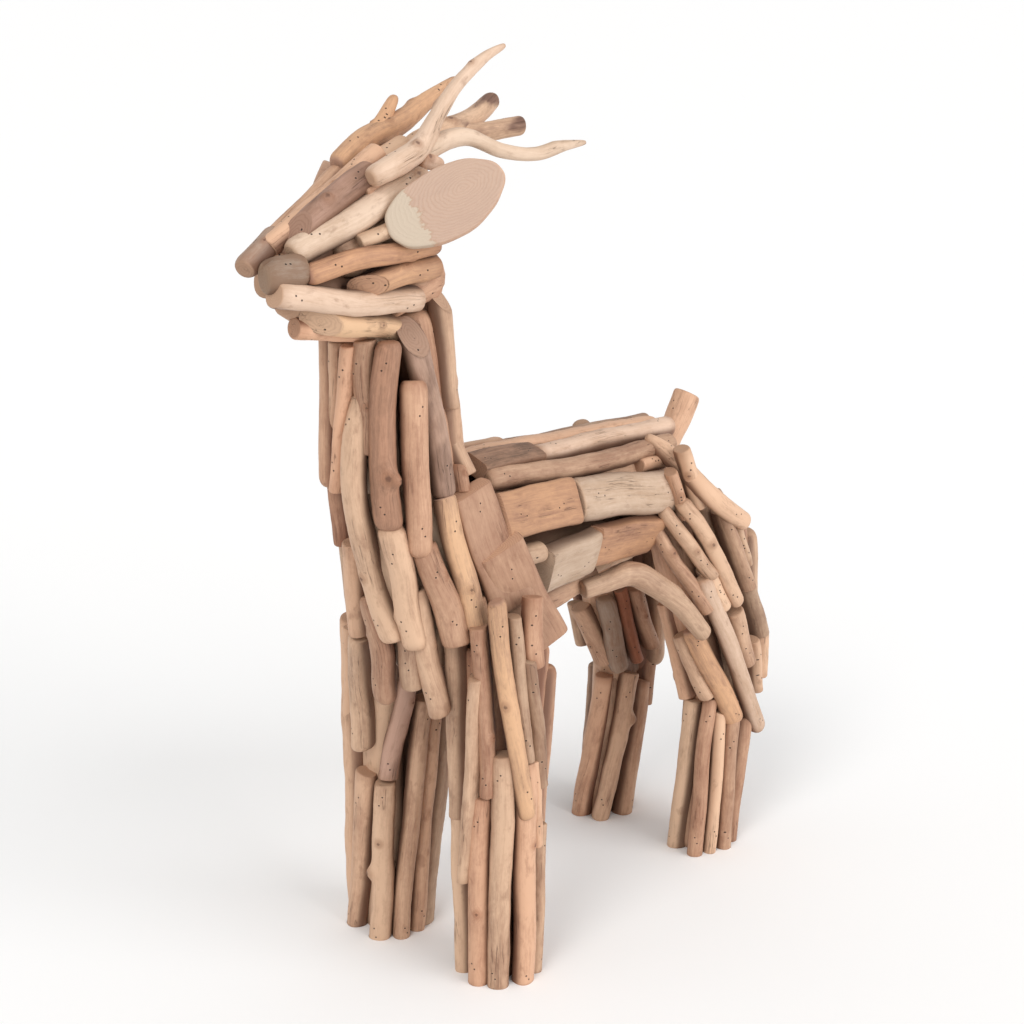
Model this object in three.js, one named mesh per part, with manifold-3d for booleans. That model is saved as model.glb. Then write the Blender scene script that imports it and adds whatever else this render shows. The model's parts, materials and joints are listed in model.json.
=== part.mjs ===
// A standing deer built of driftwood sticks: about two hundred short sticks and boards, laid
// side by side over the body as its coat, with branches for antlers and a slice for each ear.
// Millimetres, +Z up, the nose towards -Y, the deer's left side towards +X. The origin is on
// the floor, under the middle of the whole length, nose to tail.

import * as THREE from "three";
import { mergeVertices } from "three/addons/utils/BufferGeometryUtils.js";
import Module from "manifold-3d";

const wasm = await Module();
wasm.setup();

// Driving sizes of the animal
const FORELEG_HEIGHT = 192;      // floor to the elbow, where the chest sits on the forelegs
const HOCK_HEIGHT = 105;         // floor to the hock of the hind legs
const FORE_STANCE = 84;          // between the middles of the front feet
const HIND_STANCE = 78;          // between the middles of the hind feet
const FORE_FEET_FORWARD = 99;    // front feet ahead of the middle of the body
const HIND_FEET_BACK = 101;      // hind feet behind the middle of the body
const TRUNK_LENGTH = 185;        // withers to rump
const TRUNK_RISE = 46;           // middle line of the trunk above the elbows
const TRUNK_HALF_WIDTH = 44;
const TRUNK_HALF_DEPTH = 46;
const NECK_RISE = 196;           // chest to the top of the neck
const NECK_HALF_WIDTH = 31;      // in its upper half
const NECK_HALF_DEPTH = 34;
const CHEST_HALF_WIDTH = 56;
const CHEST_HALF_DEPTH = 60;
const HEAD_LENGTH = 115;         // back of the head to the muzzle
const HEAD_HALF_WIDTH = 37;
const HEAD_HALF_DEPTH = 52;
const MUZZLE_HALF_WIDTH = 18;
const LEG_HALF_WIDTH = 25;       // at the front feet
const SHIN_HALF_WIDTH = 20;
const SHIN_HALF_DEPTH = 24;
const HAUNCH_HALF_WIDTH = 28;
const HAUNCH_HALF_DEPTH = 51;
const EAR_LENGTH = 62;
const EAR_WIDTH = 34;
const EAR_THICKNESS = 8;
const EAR_BEVEL = 1.2;
const TAIL_RISE = 56;            // from its root between the haunches to its tip
const TAIL_LEAN = 37;            // how far the tip lies behind the root
const TAIL_WIDTH = 17;
const MIDDLE_SHIFT = 38;         // from the middle of the body forward to that of the whole length

// Fit and faceting of the sticks
const CLEARANCE = 0.3;           // left between pieces that touch
const SHOWING_SIDES = 6;
const BUNDLE_SIDES = 5;
const BOARD_SIDES = 4;
const ROUND_END = 0.36;          // length of a worn end, as a share of the stick's width
const SLANT_LENGTH = 1.5;        // length of an oblique cut, as a share of the width
const POINT_LENGTH = 1.6;        // length of a pointed end, as a share of the width
const BOARD_LEAN = 0.3;          // lean of a board's bevelled end, as a share of the width
const BOARD_SQUARENESS = 5;      // power of a board's cross section, which is nearly a rectangle
const ROUND_SQUARENESS = 2;      // power of a round stick's cross section
const BUNDLE_DEPTH = 14;         // a fused stick reaches this far in, down to the inner ones
const FLOOR_BLOCK = 400;         // block that trims the feet flat
const MERGE_LENGTH = 0.0001;     // corners nearer than this are one

// Heights that the parts of the body share
const CHEST_Z = FORELEG_HEIGHT - 7;
const TRUNK_Z = FORELEG_HEIGHT + TRUNK_RISE;
const NECK_TOP_Z = CHEST_Z + NECK_RISE;
const CHEST_Y = 12 - FORE_FEET_FORWARD;
const NECK_Y = CHEST_Y - 46;
const RUMP_Y = CHEST_Y + TRUNK_LENGTH;
const HOCK_Y = HIND_FEET_BACK + 13;
const POLL = [0, NECK_Y + 24, NECK_TOP_Z + 39];

// The skins: each is a body shape that the faces of its sticks lie on, given by stations of
// share along (percent), middle x, y and z, half width and half depth. Angle 0 looks along
// the zero direction and angle 90 towards the deer's left.
const FRONT = new THREE.Vector3(0, -1, 0);
const UP = new THREE.Vector3(0, 0, 1);
const SIDE = new THREE.Vector3(1, 0, 0);

function neckStation(along, y, width, depth) {
  return [along, 0, y, CHEST_Z + (NECK_RISE * along) / 100, width, depth];
}

function trunkStation(along, width, depth) {
  return [along, 0, CHEST_Y + (TRUNK_LENGTH * along) / 100, TRUNK_Z - 0.04 * along, width, depth];
}

function headStation(along, width, depth, drop) {
  const reach = (HEAD_LENGTH * along) / 100;
  return [along, 0, POLL[1] - 0.97 * reach, POLL[2] - drop - 0.235 * reach, width, depth];
}

function limbs(side) {
  const [foreX, hindX] = [(side * FORE_STANCE) / 2, (side * HIND_STANCE) / 2];
  const thighZ = (HOCK_HEIGHT + TRUNK_Z) / 2 - 16;
  const [kneeY, kneeZ] = [4 - FORE_FEET_FORWARD, 0.48 * FORELEG_HEIGHT];
  return {
    foreleg: {
      zero: FRONT,
      stations: [
        [0, foreX, -FORE_FEET_FORWARD, 0, LEG_HALF_WIDTH, LEG_HALF_WIDTH - 1],
        [48, foreX - side, kneeY, kneeZ, LEG_HALF_WIDTH + 2, LEG_HALF_WIDTH + 3],
        [100, foreX - 4 * side, CHEST_Y, FORELEG_HEIGHT, LEG_HALF_WIDTH + 8, LEG_HALF_WIDTH + 15],
      ],
    },
    shin: {
      zero: FRONT,
      stations: [
        [0, hindX, HIND_FEET_BACK, 0, SHIN_HALF_WIDTH, SHIN_HALF_DEPTH],
        [100, hindX, HOCK_Y, HOCK_HEIGHT, SHIN_HALF_WIDTH + 1, SHIN_HALF_DEPTH + 3],
      ],
    },
    haunch: {
      zero: FRONT,
      stations: [
        [0, hindX - side, HOCK_Y + 6, HOCK_HEIGHT - 15, HAUNCH_HALF_WIDTH - 5, HAUNCH_HALF_DEPTH - 19],
        [50, hindX - side, HOCK_Y - 4, thighZ, HAUNCH_HALF_WIDTH - 2, HAUNCH_HALF_DEPTH - 9],
        [100, hindX - 9 * side, RUMP_Y - 4, TRUNK_Z - 3, HAUNCH_HALF_WIDTH, HAUNCH_HALF_DEPTH],
      ],
    },
  };
}

const LEFT = limbs(1);
const RIGHT = limbs(-1);
const SKINS = {
  neck: {
    zero: FRONT,
    stations: [
      neckStation(0, CHEST_Y - 2, CHEST_HALF_WIDTH, CHEST_HALF_DEPTH),
      neckStation(25, CHEST_Y - 14, CHEST_HALF_WIDTH - 9, CHEST_HALF_DEPTH - 9),
      neckStation(50, NECK_Y, NECK_HALF_WIDTH + 3, NECK_HALF_DEPTH + 2),
      neckStation(75, NECK_Y, NECK_HALF_WIDTH, NECK_HALF_DEPTH),
      neckStation(100, NECK_Y - 3, NECK_HALF_WIDTH - 2, NECK_HALF_DEPTH - 1),
    ],
  },
  trunk: {
    zero: UP,
    stations: [
      trunkStation(0, TRUNK_HALF_WIDTH + 2, TRUNK_HALF_DEPTH + 5),
      trunkStation(30, TRUNK_HALF_WIDTH, TRUNK_HALF_DEPTH),
      trunkStation(65, TRUNK_HALF_WIDTH - 2, TRUNK_HALF_DEPTH - 5),
      trunkStation(100, TRUNK_HALF_WIDTH - 4, TRUNK_HALF_DEPTH - 6),
    ],
  },
  head: {
    zero: UP,
    stations: [
      headStation(0, HEAD_HALF_WIDTH, HEAD_HALF_DEPTH, 6),
      headStation(45, HEAD_HALF_WIDTH - 5, HEAD_HALF_DEPTH - 7, 7),
      headStation(100, MUZZLE_HALF_WIDTH, MUZZLE_HALF_WIDTH + 2, 3),
    ],
  },
  foreleg_left: LEFT.foreleg,
  foreleg_right: RIGHT.foreleg,
  shin_left: LEFT.shin,
  shin_right: RIGHT.shin,
  haunch_left: LEFT.haunch,
  haunch_right: RIGHT.haunch,
};

// The cutting lists. A row is one stick: the piece that it belongs to, its width, its
// thickness, how far its face stands off the skin, the form of its ends, and the places that
// it runs through, each a skin, an angle round it and a share along it.
const HEAD_LIST = [
  ["bridge_stick", 12, 12, 1, "cut", ["head", -8, 88], ["head", 9, 20]],
  ["brow_stick_left", 13.5, 13, 4, "slant", ["head", 18, 88], ["head", 24, 32]],
  ["temple_stick_left", 14.5, 14, 1, "round", ["head", 38, 85], ["head", 49, 11]],
  ["cheek_stick_left", 10.5, 10, 2, "round", ["head", 72, 85], ["head", 78, 58], ["head", 90, 20]],
  ["cheek_back_stick_left", 11.5, 11, 2, "slant", ["head", 100, 65], ["head", 103, 21]],
  ["jaw_stick_left", 12.5, 13, 2, "cut", ["head", 78, 101], ["head", 110, 69], ["head", 124, 31]],
  ["chin_stick_left", 13, 12, 3, "slant", ["head", 123, 87], ["head", 155, 37]],
  ["nose_knob", 17, 16, 2, "round", ["head", 40, 101], ["head", 62, 82]],
  ["nostril_stick_right", 13, 12, 1, "round", ["head", -16, 102], ["head", -24, 78]],
  ["head_sticks", 8, 12, -1, "cut", ["head", 66, 56], ["head", 68, 35]],
  ["head_sticks", 12, 12, -2, "cut", ["head", 30, 41], ["head", 34, 16]],
  ["head_sticks", 13, 13, 0, "cut", ["head", -28, 80], ["head", -26, 30]],
  ["head_sticks", 15, 14, 1, "cut", ["head", -46, 86], ["head", -50, 12]],
  ["head_sticks", 12, 13, 1, "cut", ["head", -72, 84], ["head", -84, 22]],
  ["head_sticks", 14, 14, 1, "cut", ["head", -92, 84], ["head", -122, 30]],
  ["head_sticks", 13, 13, 0, "cut", ["head", -124, 74], ["head", -154, 36]],
  ["head_sticks", 13, 12, 1, "cut", ["head", -103, 62], ["head", -104, 14]],
  ["head_sticks", 10, 11, 0, "cut", ["head", 152, 88], ["head", 174, 44]],
  ["head_sticks", 16, 15, -6, "cut", ["head", 0, 28], ["head", 2, 0]],
  ["head_sticks", 17, 16, -4, "cut", ["head", 72, 26], ["head", 70, 0]],
  ["head_sticks", 17, 16, -3, "cut", ["head", -44, 22], ["head", -44, -2]],
  ["head_sticks", 17, 16, -3, "cut", ["head", -90, 26], ["head", -90, 0]],
  ["head_sticks", 17, 16, -4, "cut", ["head", 128, 40], ["head", 126, 14]],
  ["head_sticks", 17, 16, -3, "cut", ["head", -135, 40], ["head", -130, 10]],
];

const NECK_LIST = [
  ["nape_stick_left", 12, 12, 2, "slant", ["neck", 120, 103], ["neck", 137, 85], ["neck", 136, 69]],
  ["throat_stick_long", 14, 13, 3, "round", ["neck", 72, 80], ["neck", 68, 61], ["neck", 50, 40]],
  ["throat_stick_knotted", 14, 12, 3, "round", ["neck", 49, 91], ["neck", 38, 62], ["neck", 34, 49]],
  ["breast_stick_bent", 13, 13, 3, "point", ["neck", 13, 77], ["neck", 8, 51], ["neck", 2, 36],
    ["neck", 14, 14]],
  ["neck_stick_side", 13, 13, 1, "slant", ["neck", 75, 96], ["neck", 90, 73], ["neck", 98, 47]],
  ["shoulder_board_rear", 27, 9, 6, "board", ["neck", 99, 31], ["neck", 103, 1]],
  ["shoulder_board_front", 26, 8, 3, "board", ["neck", 116, 44], ["neck", 92, 15]],
  ["chest_stick_upper", 13, 12, 1, "cut", ["neck", 94, 47], ["neck", 77, 37], ["neck", 66, 14]],
  ["chest_stick_square", 15, 13, 1, "cut", ["neck", 55, 41], ["neck", 53, 11]],
  ["chest_stick_front", 14, 13, 2, "round", ["neck", 37, 49], ["neck", 27, 12]],
  ["chest_stick_lower", 13.5, 12, 3, "round", ["neck", -7, 31], ["neck", 2, 11], ["neck", 2, -4]],
  ["breast_post", 12.5, 13, 2, "round", ["neck", -26, 10], ["foreleg_right", -1, 78],
    ["foreleg_right", 0, 59]],
  ["neck_sticks", 13, 14, 0, "cut", ["neck", 33, 32], ["neck", 33, -8]],
  ["neck_sticks", 11.5, 13, -1, "cut", ["neck", 23, 91], ["neck", 18, 61]],
  ["neck_sticks", 8, 12, 0, "cut", ["neck", -15, 90], ["neck", -34, 62]],
  ["neck_sticks", 8, 14, 2, "cut", ["neck", 8, 90], ["neck", -15, 50]],
  ["neck_sticks", 9, 15, 3, "cut", ["neck", -42, 62], ["neck", -39, 40]],
  ["neck_sticks", 11, 14, 1, "cut", ["neck", -22, 43], ["neck", -26, 11]],
  ["neck_sticks", 13, 13, -2, "cut", ["neck", 20, 19], ["neck", 20, 0]],
  ["neck_sticks", 8, 12, 2, "cut", ["neck", 147, 59], ["neck", 133, 43]],
  ["neck_sticks", 8, 12, 0, "cut", ["neck", 136, 46], ["neck", 112, 43]],
  ["neck_sticks", 13, 12, -2, "cut", ["neck", 70, 20], ["neck", 72, -4]],
];

const TRUNK_LIST = [
  ["withers_board", 16, 9, 3, "board", ["trunk", 21, -2], ["trunk", 19, 28]],
  ["back_rail_top", 12, 12, 1, "cut", ["trunk", 14, 31], ["trunk", 14, 99]],
  ["back_rail_left", 12, 12, 2, "round", ["trunk", 35, -1], ["trunk", 37, 45], ["trunk", 38, 91]],
  ["flank_board_front", 26, 10, 3, "board", ["trunk", 61, -5], ["trunk", 65, 30]],
  ["flank_stick_round", 25, 14, 4, "cut", ["trunk", 64, 32], ["trunk", 81, 83]],
  ["flank_block", 27, 12, 3, "board", ["trunk", 109, 14], ["trunk", 106, 39]],
  ["flank_board_rear", 25, 10, 2, "board", ["trunk", 103, 38], ["trunk", 118, 74]],
  ["trunk_sticks", 8, 12, -1, "cut", ["trunk", 49, 70], ["trunk", 52, 84]],
  ["trunk_sticks", 12, 20, 7, "cut", ["trunk", 146, 24], ["trunk", 150, 52]],
  ["trunk_sticks", 12, 14, 1, "cut", ["trunk", 91, 3], ["trunk", 93, 14]],
];

const HAUNCH_LIST = [
  ["rump_branch_left", 12, 11, 8, "point", ["trunk", 31, 77], ["trunk", 58, 83], ["haunch_left", 65, 107],
    ["haunch_left", 98, 87]],
  ["haunch_stick_pale", 11, 11, 4, "round", ["haunch_left", 50, 74], ["haunch_left", 72, 27],
    ["haunch_left", 110, -14]],
  ["haunch_stick_upper", 10, 10, 4, "round", ["haunch_left", 44, 106], ["haunch_left", 59, 89],
    ["haunch_left", 80, 58]],
  ["haunch_stick_middle", 9, 9, 4, "round", ["haunch_left", 23, 105], ["haunch_left", 42, 90],
    ["haunch_left", 58, 73]],
  ["haunch_stick_front", 9, 9, 3, "cut", ["haunch_left", 7, 100], ["haunch_left", 27, 82],
    ["haunch_left", 46, 60]],
  ["haunch_stick_wide", 13, 12, 2, "round", ["haunch_left", 21, 53], ["haunch_left", 45, 26],
    ["haunch_left", 67, -3]],
  ["haunch_sticks_left", 10, 13, 1, "cut", ["haunch_left", -2, 48], ["haunch_left", 31, 14]],
  ["haunch_sticks_left", 10, 14, 2, "cut", ["haunch_left", 56, 76], ["haunch_left", 66, 58]],
  ["haunch_sticks_left", 9, 15, 3, "cut", ["haunch_left", 82, 95], ["haunch_left", 98, 59]],
  ["haunch_sticks_left", 9, 15, 3, "cut", ["haunch_left", 100, 60], ["haunch_left", 130, 31]],
  ["haunch_sticks_left", 12, 14, 2, "cut", ["haunch_left", 76, 55], ["haunch_left", 94, 24]],
  ["haunch_sticks_left", 8, 12, 0, "cut", ["haunch_left", -35, 60], ["haunch_left", -18, 11]],
  ["haunch_sticks_left", 7, 12, 1, "cut", ["haunch_left", 105, 34], ["haunch_left", 130, 2]],
  ["haunch_sticks_left", 9, 15, 3, "cut", ["haunch_left", 130, 33], ["haunch_left", 132, 9]],
  ["haunch_sticks_left", 7, 12, 1, "cut", ["haunch_left", 96, 87], ["haunch_left", 102, 68]],
  ["haunch_sticks_left", 8, 14, 1, "cut", ["haunch_left", 41, 117], ["haunch_left", 48, 98]],
  ["haunch_sticks_left", 9, 14, 1, "cut", ["haunch_left", 56, 124], ["haunch_left", 62, 100]],
];

const THIGH_RIGHT_LIST = [
  ["thigh_stick_pale", 13, 12, 3, "round", ["haunch_right", 40, 54], ["haunch_right", 44, 30],
    ["haunch_right", 47, 12]],
  ["thigh_stick_bark", 9, 9, 0, "cut", ["haunch_right", 58, 56], ["haunch_right", 66, 33],
    ["haunch_right", 75, 13]],
  ["haunch_sticks_right", 9, 12, 0, "cut", ["haunch_right", -34, 46], ["haunch_right", -35, 23]],
  ["haunch_sticks_right", 13, 13, 1, "cut", ["haunch_right", -5, 48], ["haunch_right", 24, 17]],
  ["haunch_sticks_right", 10, 13, 2, "cut", ["haunch_right", 75, 54], ["haunch_right", 100, 16]],
];

const FORELEG_LIST = [
  ["foreleg_left_front_post", 12.5, 12, 0, "cut", ["foreleg_left", 44, 71], ["foreleg_left", 40, -2]],
  ["foreleg_left_outer_post", 12.5, 12, 0, "cut", ["foreleg_left", 75, 68], ["foreleg_left", 86, -2]],
  ["foreleg_left_long_stick", 10, 10, 4, "round", ["foreleg_left", 36, 116], ["foreleg_left", 51, 83],
    ["foreleg_left", 72, 52]],
  ["foreleg_sticks_left", 8, 13, 1, "cut", ["foreleg_left", 53, 111], ["foreleg_left", 72, 69]],
  ["foreleg_sticks_left", 11, 12, 0, "cut", ["foreleg_left", 72, 116], ["foreleg_left", 76, 96]],
  ["foreleg_sticks_left", 8, 14, 2, "cut", ["foreleg_left", 68, 99], ["foreleg_left", 95, 60]],
  ["foreleg_sticks_left", 7, 12, 0, "cut", ["foreleg_left", 81, 69], ["foreleg_left", 98, 42]],
  ["foreleg_sticks_left", 9, 14, 2, "cut", ["foreleg_left", 21, 108], ["foreleg_left", 26, 59]],
  ["foreleg_sticks_left", 8, 16, 4, "cut", ["foreleg_left", 20, 94], ["foreleg_left", -9, 31]],
  ["foreleg_sticks_left", 10.5, 13, 1, "cut", ["foreleg_left", -15, 103], ["foreleg_left", -46, 47]],
  ["foreleg_sticks_left", 12, 13, 0, "cut", ["foreleg_left", 14, 58], ["foreleg_left", 2, -2]],
  ["foreleg_sticks_left", 9, 13, 0, "cut", ["foreleg_left", -45, 53], ["foreleg_left", -39, -2]],
  ["foreleg_sticks_left", 8, 13, 0, "cut", ["foreleg_left", 106, 48], ["foreleg_left", 124, -2]],
  ["foreleg_right_front_post", 12.5, 12, 2, "cut", ["foreleg_right", 35, 50], ["foreleg_right", 26, -3]],
  ["foreleg_right_outer_post", 12, 12, 1, "cut", ["foreleg_right", 5, 52], ["foreleg_right", -34, -4]],
  ["foreleg_right_brown_stick", 11, 11, 0, "cut", ["foreleg_right", 61, 87], ["foreleg_right", 53, 74],
    ["foreleg_right", 38, 51]],
  ["foreleg_sticks_right", 9.5, 13, 1, "cut", ["foreleg_right", 77, 76], ["foreleg_right", 60, -2]],
  ["foreleg_sticks_right", 9, 13, 0, "cut", ["foreleg_right", 96, 75], ["foreleg_right", 92, -2]],
  ["foreleg_sticks_right", 8, 13, 0, "cut", ["foreleg_right", -17, 96], ["foreleg_right", -41, 62]],
];

const SHIN_LIST = [
  ["shin_left_middle_post", 9.5, 10, 1, "cut", ["shin_left", 32, 95], ["shin_left", 30, -3]],
  ["shin_sticks_left", 10, 12, 0, "cut", ["shin_left", -9, 92], ["shin_left", -34, -4]],
  ["shin_sticks_left", 8, 11, -1, "cut", ["shin_left", 58, 87], ["shin_left", 66, -3]],
  ["shin_sticks_left", 9, 12, 1, "cut", ["shin_left", 80, 81], ["shin_left", 97, -4]],
  ["shin_sticks_left", 9, 14, 2, "cut", ["shin_left", 118, 80], ["shin_left", 127, -4]],
  ["shin_right_middle_post", 12, 12, 2, "cut", ["shin_right", 74, 92], ["shin_right", 40, -3]],
  ["shin_sticks_right", 12, 13, 1, "cut", ["shin_right", 21, 90], ["shin_right", -18, -3]],
  ["shin_sticks_right", 11, 13, 1, "cut", ["shin_right", 120, 84], ["shin_right", 94, -4]],
  ["shin_sticks_right", 9, 15, 3, "cut", ["shin_right", 130, 106], ["shin_right", 131, 67]],
];

// Boards that face further forward than the skin under them, by this angle
const TURNS = { shoulder_board_rear: 30, shoulder_board_front: 25 };

// A row of the same stick on the deer's other side, where the coat is plainer
function mirrored(row, piece, slip) {
  const places = row.slice(5).map(([skin, angle, along]) => [
    skin.replace("left", "right"),
    -angle,
    along + slip,
  ]);
  return [piece, row[1], row[2], row[3], "plain", places[0], places[places.length - 1]];
}

// Sticks laid side by side round a skin, their ends stepping in and out
function around(piece, skin, angles, from, to, width, lift, twist = 4) {
  return angles.map((angle, index) => {
    const step = (index % 3) * 3;
    const places = [[skin, angle, from + step], [skin, angle + twist, to - step]];
    return [piece, width, width - 1, lift, "plain", ...places];
  });
}

function farSide(rows, piece) {
  return rows.map((row, index) => mirrored(row, piece, (index % 3) - 1));
}

const RIGHT_SIDE = [
  ...farSide(NECK_LIST.filter((row) => row[5][1] > 40), "neck_sticks"),
  ...farSide(TRUNK_LIST, "trunk_sticks"),
  ...farSide(
    HAUNCH_LIST.filter((row) => row[5][1] > 0 && row[5][2] < 110 && row[0] !== "haunch_stick_wide"),
    "haunch_sticks_right",
  ),
];

const BACKING = [
  ...around("neck_sticks", "neck", [155, 200], 44, 96, 20, 0, 2),
  ...around("neck_sticks", "neck", [18, 90, 162, 234, 306], 0, 50, 34, -11),
  ...around("neck_sticks", "neck", [0, 120, 240], 40, 98, 22, -9),
  ...around("trunk_sticks", "trunk", [-6], 4, 96, 17, 0),
  ...around("trunk_sticks", "trunk", [152, 180, 208], 6, 92, 20, -1),
  ...around("trunk_sticks", "trunk", [45, 135, 225, 315], 2, 100, 32, -10),
  ...around("head_sticks", "head", [0, 180], 2, 90, 26, -9),
  ...around("head_sticks", "head", [70, 130, 230, 290], 4, 62, 24, -8),
  ...around("foreleg_sticks_left", "foreleg_left", [166, 215, 270], -4, 90, 17, -3),
  ...around("foreleg_sticks_left", "foreleg_left", [0, 180], -4, 100, 24, -10),
  ...around("foreleg_sticks_right", "foreleg_right", [130, 175, 220, 265, 310], -4, 100, 17, 0),
  ...around("foreleg_sticks_right", "foreleg_right", [0, 180], -4, 100, 24, -10),
  ...around("shin_sticks_left", "shin_left", [165, 215, 265], -4, 96, 16, 0),
  ...around("shin_sticks_left", "shin_left", [0, 180], -4, 100, 20, -9),
  ...around("shin_sticks_right", "shin_right", [165, 215, 265], -4, 96, 16, 0),
  ...around("shin_sticks_right", "shin_right", [0, 180], -4, 100, 20, -9),
  ...around("haunch_sticks_left", "haunch_left", [160, 200], 2, 72, 18, 0),
  ...around("haunch_sticks_left", "haunch_left", [240, 285], 2, 88, 18, 0),
  ...around("haunch_sticks_left", "haunch_left", [180], 0, 76, 26, -10),
  ...around("haunch_sticks_right", "haunch_right", [180], 0, 76, 26, -10),
  ...around("haunch_sticks_left", "haunch_left", [0, 90], 0, 100, 26, -10),
  ...around("haunch_sticks_right", "haunch_right", [125], 2, 88, 18, 0),
  ...around("haunch_sticks_right", "haunch_right", [160, 195], 2, 72, 18, 0),
  ...around("haunch_sticks_right", "haunch_right", [0, 270], 0, 100, 26, -10),
];

// Where a share along a skin falls: the middle point, the two half sizes and the directions
function station(skin, along) {
  const { stations, zero } = SKINS[skin];
  const last = stations.length - 2;
  const found = stations.findIndex((row, index) => index > 0 && along < row[0]);
  const first = found < 1 ? (along < stations[0][0] ? 0 : last) : found - 1;
  const [from, to] = [stations[first], stations[first + 1]];
  const share = (along - from[0]) / (to[0] - from[0]);
  const inside = Math.min(Math.max(share, 0), 1);
  const start = new THREE.Vector3(...from.slice(1, 4));
  const end = new THREE.Vector3(...to.slice(1, 4));
  const run = end.clone().sub(start).normalize();
  const ahead = zero.clone().addScaledVector(run, -zero.dot(run)).normalize();
  return {
    middle: start.lerp(end, share),
    ahead,
    width: THREE.MathUtils.lerp(from[4], to[4], inside),
    depth: THREE.MathUtils.lerp(from[5], to[5], inside),
  };
}

// A place on a skin, with the direction that faces away from it
function place(skin, angle, along) {
  const { middle, ahead, width, depth } = station(skin, along);
  const turn = THREE.MathUtils.degToRad(angle);
  const [sideways, forward] = [Math.sin(turn), Math.cos(turn)];
  const point = middle.clone().addScaledVector(SIDE, width * sideways).addScaledVector(ahead, depth * forward);
  const out = SIDE.clone().multiplyScalar(sideways / width).addScaledVector(ahead, forward / depth);
  return { point, out: out.normalize() };
}

// The rings of a stick: share along, share of the width, and how far an oblique cut leans.
// A stick that bends has a ring more for each place that it bends at.
function rings(form, width, length, bends) {
  if (form === "plain") return [[0, 1, 0], [1, 1, 0]];
  const round = (ROUND_END * width) / length;
  const start = { point: POINT_LENGTH * width, slant: SLANT_LENGTH * width + 1 }[form];
  const near = start ? start / length : round;
  const cut = form === "round" || form === "point" ? 0.6 : 0.86;
  const tip = { point: 0.3, slant: 0.94, board: 0.94 }[form] ?? cut;
  const lean = { slant: SLANT_LENGTH * width, board: BOARD_LEAN * width }[form] ?? 0;
  const all = Array.from({ length: bends }, (_, index) => [(index + 1) / (bends + 1), 1, 0]);
  const middle = all.filter(([share]) => share > near);
  return [[0, tip, lean], [near, 1, 0], ...middle, [1 - round, 1, 0], [1, cut, 0]];
}

// One stick along a curve: a cylinder whose rings are spread along the curve, drawn to the
// stick's width and thickness, and worn, pointed or cut at its ends
function stickShape(points, outs, width, thickness, form, sides, bends, grow) {
  const curve = new THREE.CatmullRomCurve3(points, false, "centripetal");
  const length = curve.getLength();
  const profile = rings(form, width, length, bends);
  const shape = new THREE.CylinderGeometry(1, 1, 1, sides, profile.length - 1);
  const spots = shape.attributes.position;
  const square = form === "board" ? BOARD_SQUARENESS : ROUND_SQUARENESS;
  for (let index = 0; index < spots.count; index += 1) {
    const ring = Math.round((0.5 + spots.getY(index)) * (profile.length - 1));
    const [share, swell, lean] = profile[ring];
    const spot = curve.getPointAt(share);
    const along = curve.getTangentAt(share);
    const at = Math.min(share * (outs.length - 1), outs.length - 1.001);
    const raw = outs[Math.floor(at)].clone().lerp(outs[Math.floor(at) + 1], at % 1);
    const out = raw.addScaledVector(along, -raw.dot(along)).normalize();
    const across = along.clone().cross(out);
    const turn = Math.atan2(spots.getZ(index), spots.getX(index)) + Math.PI / sides;
    const rim = Math.hypot(spots.getX(index), spots.getZ(index)) > 0.5 ? 1 : 0;
    const [flat, high] = [Math.cos(turn), Math.sin(turn)];
    const fullness = rim / (Math.abs(flat) ** square + Math.abs(high) ** square) ** (1 / square);
    const overhang = ring === 0 ? -grow : ring === profile.length - 1 ? grow : 0;
    const height = fullness * high;
    spot.addScaledVector(across, fullness * flat * ((swell * width) / 2 + grow));
    spot.addScaledVector(out, height * ((swell * thickness) / 2 + grow));
    spot.addScaledVector(along, overhang + (lean * (1 + height)) / 2);
    spots.setXYZ(index, spot.x, spot.y, spot.z);
  }
  return shape;
}

// A row of a cutting list as a shape, grown all round by what a neighbour keeps clear
function rowShape(row, grow) {
  const [, width, ownThickness, lift, form, ...places] = row;
  const bundled = row[0].includes("_sticks");
  const thickness = bundled ? Math.max(ownThickness, lift + BUNDLE_DEPTH) : ownThickness;
  const found = places.map((spot) => place(...spot));
  const points = found.map(({ point, out }) => point.clone().addScaledVector(out, lift - thickness / 2));
  const sides = form === "board" ? BOARD_SIDES : bundled ? BUNDLE_SIDES : SHOWING_SIDES;
  const axis = points[points.length - 1].clone().sub(points[0]).normalize();
  const turn = THREE.MathUtils.degToRad(TURNS[row[0]] ?? 0);
  const outs = found.map(({ out }) => out.clone().applyAxisAngle(axis, turn));
  return stickShape(points, outs, width, thickness, bundled ? "plain" : form, sides, points.length - 2, grow);
}

// Closed shape to solid, for joining and cutting
function solid(shape) {
  shape.deleteAttribute("normal");
  shape.deleteAttribute("uv");
  const merged = mergeVertices(shape, MERGE_LENGTH);
  return new wasm.Manifold(new wasm.Mesh({
    numProp: 3,
    vertProperties: new Float32Array(merged.attributes.position.array),
    triVerts: new Uint32Array(merged.index.array),
  }));
}

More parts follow.
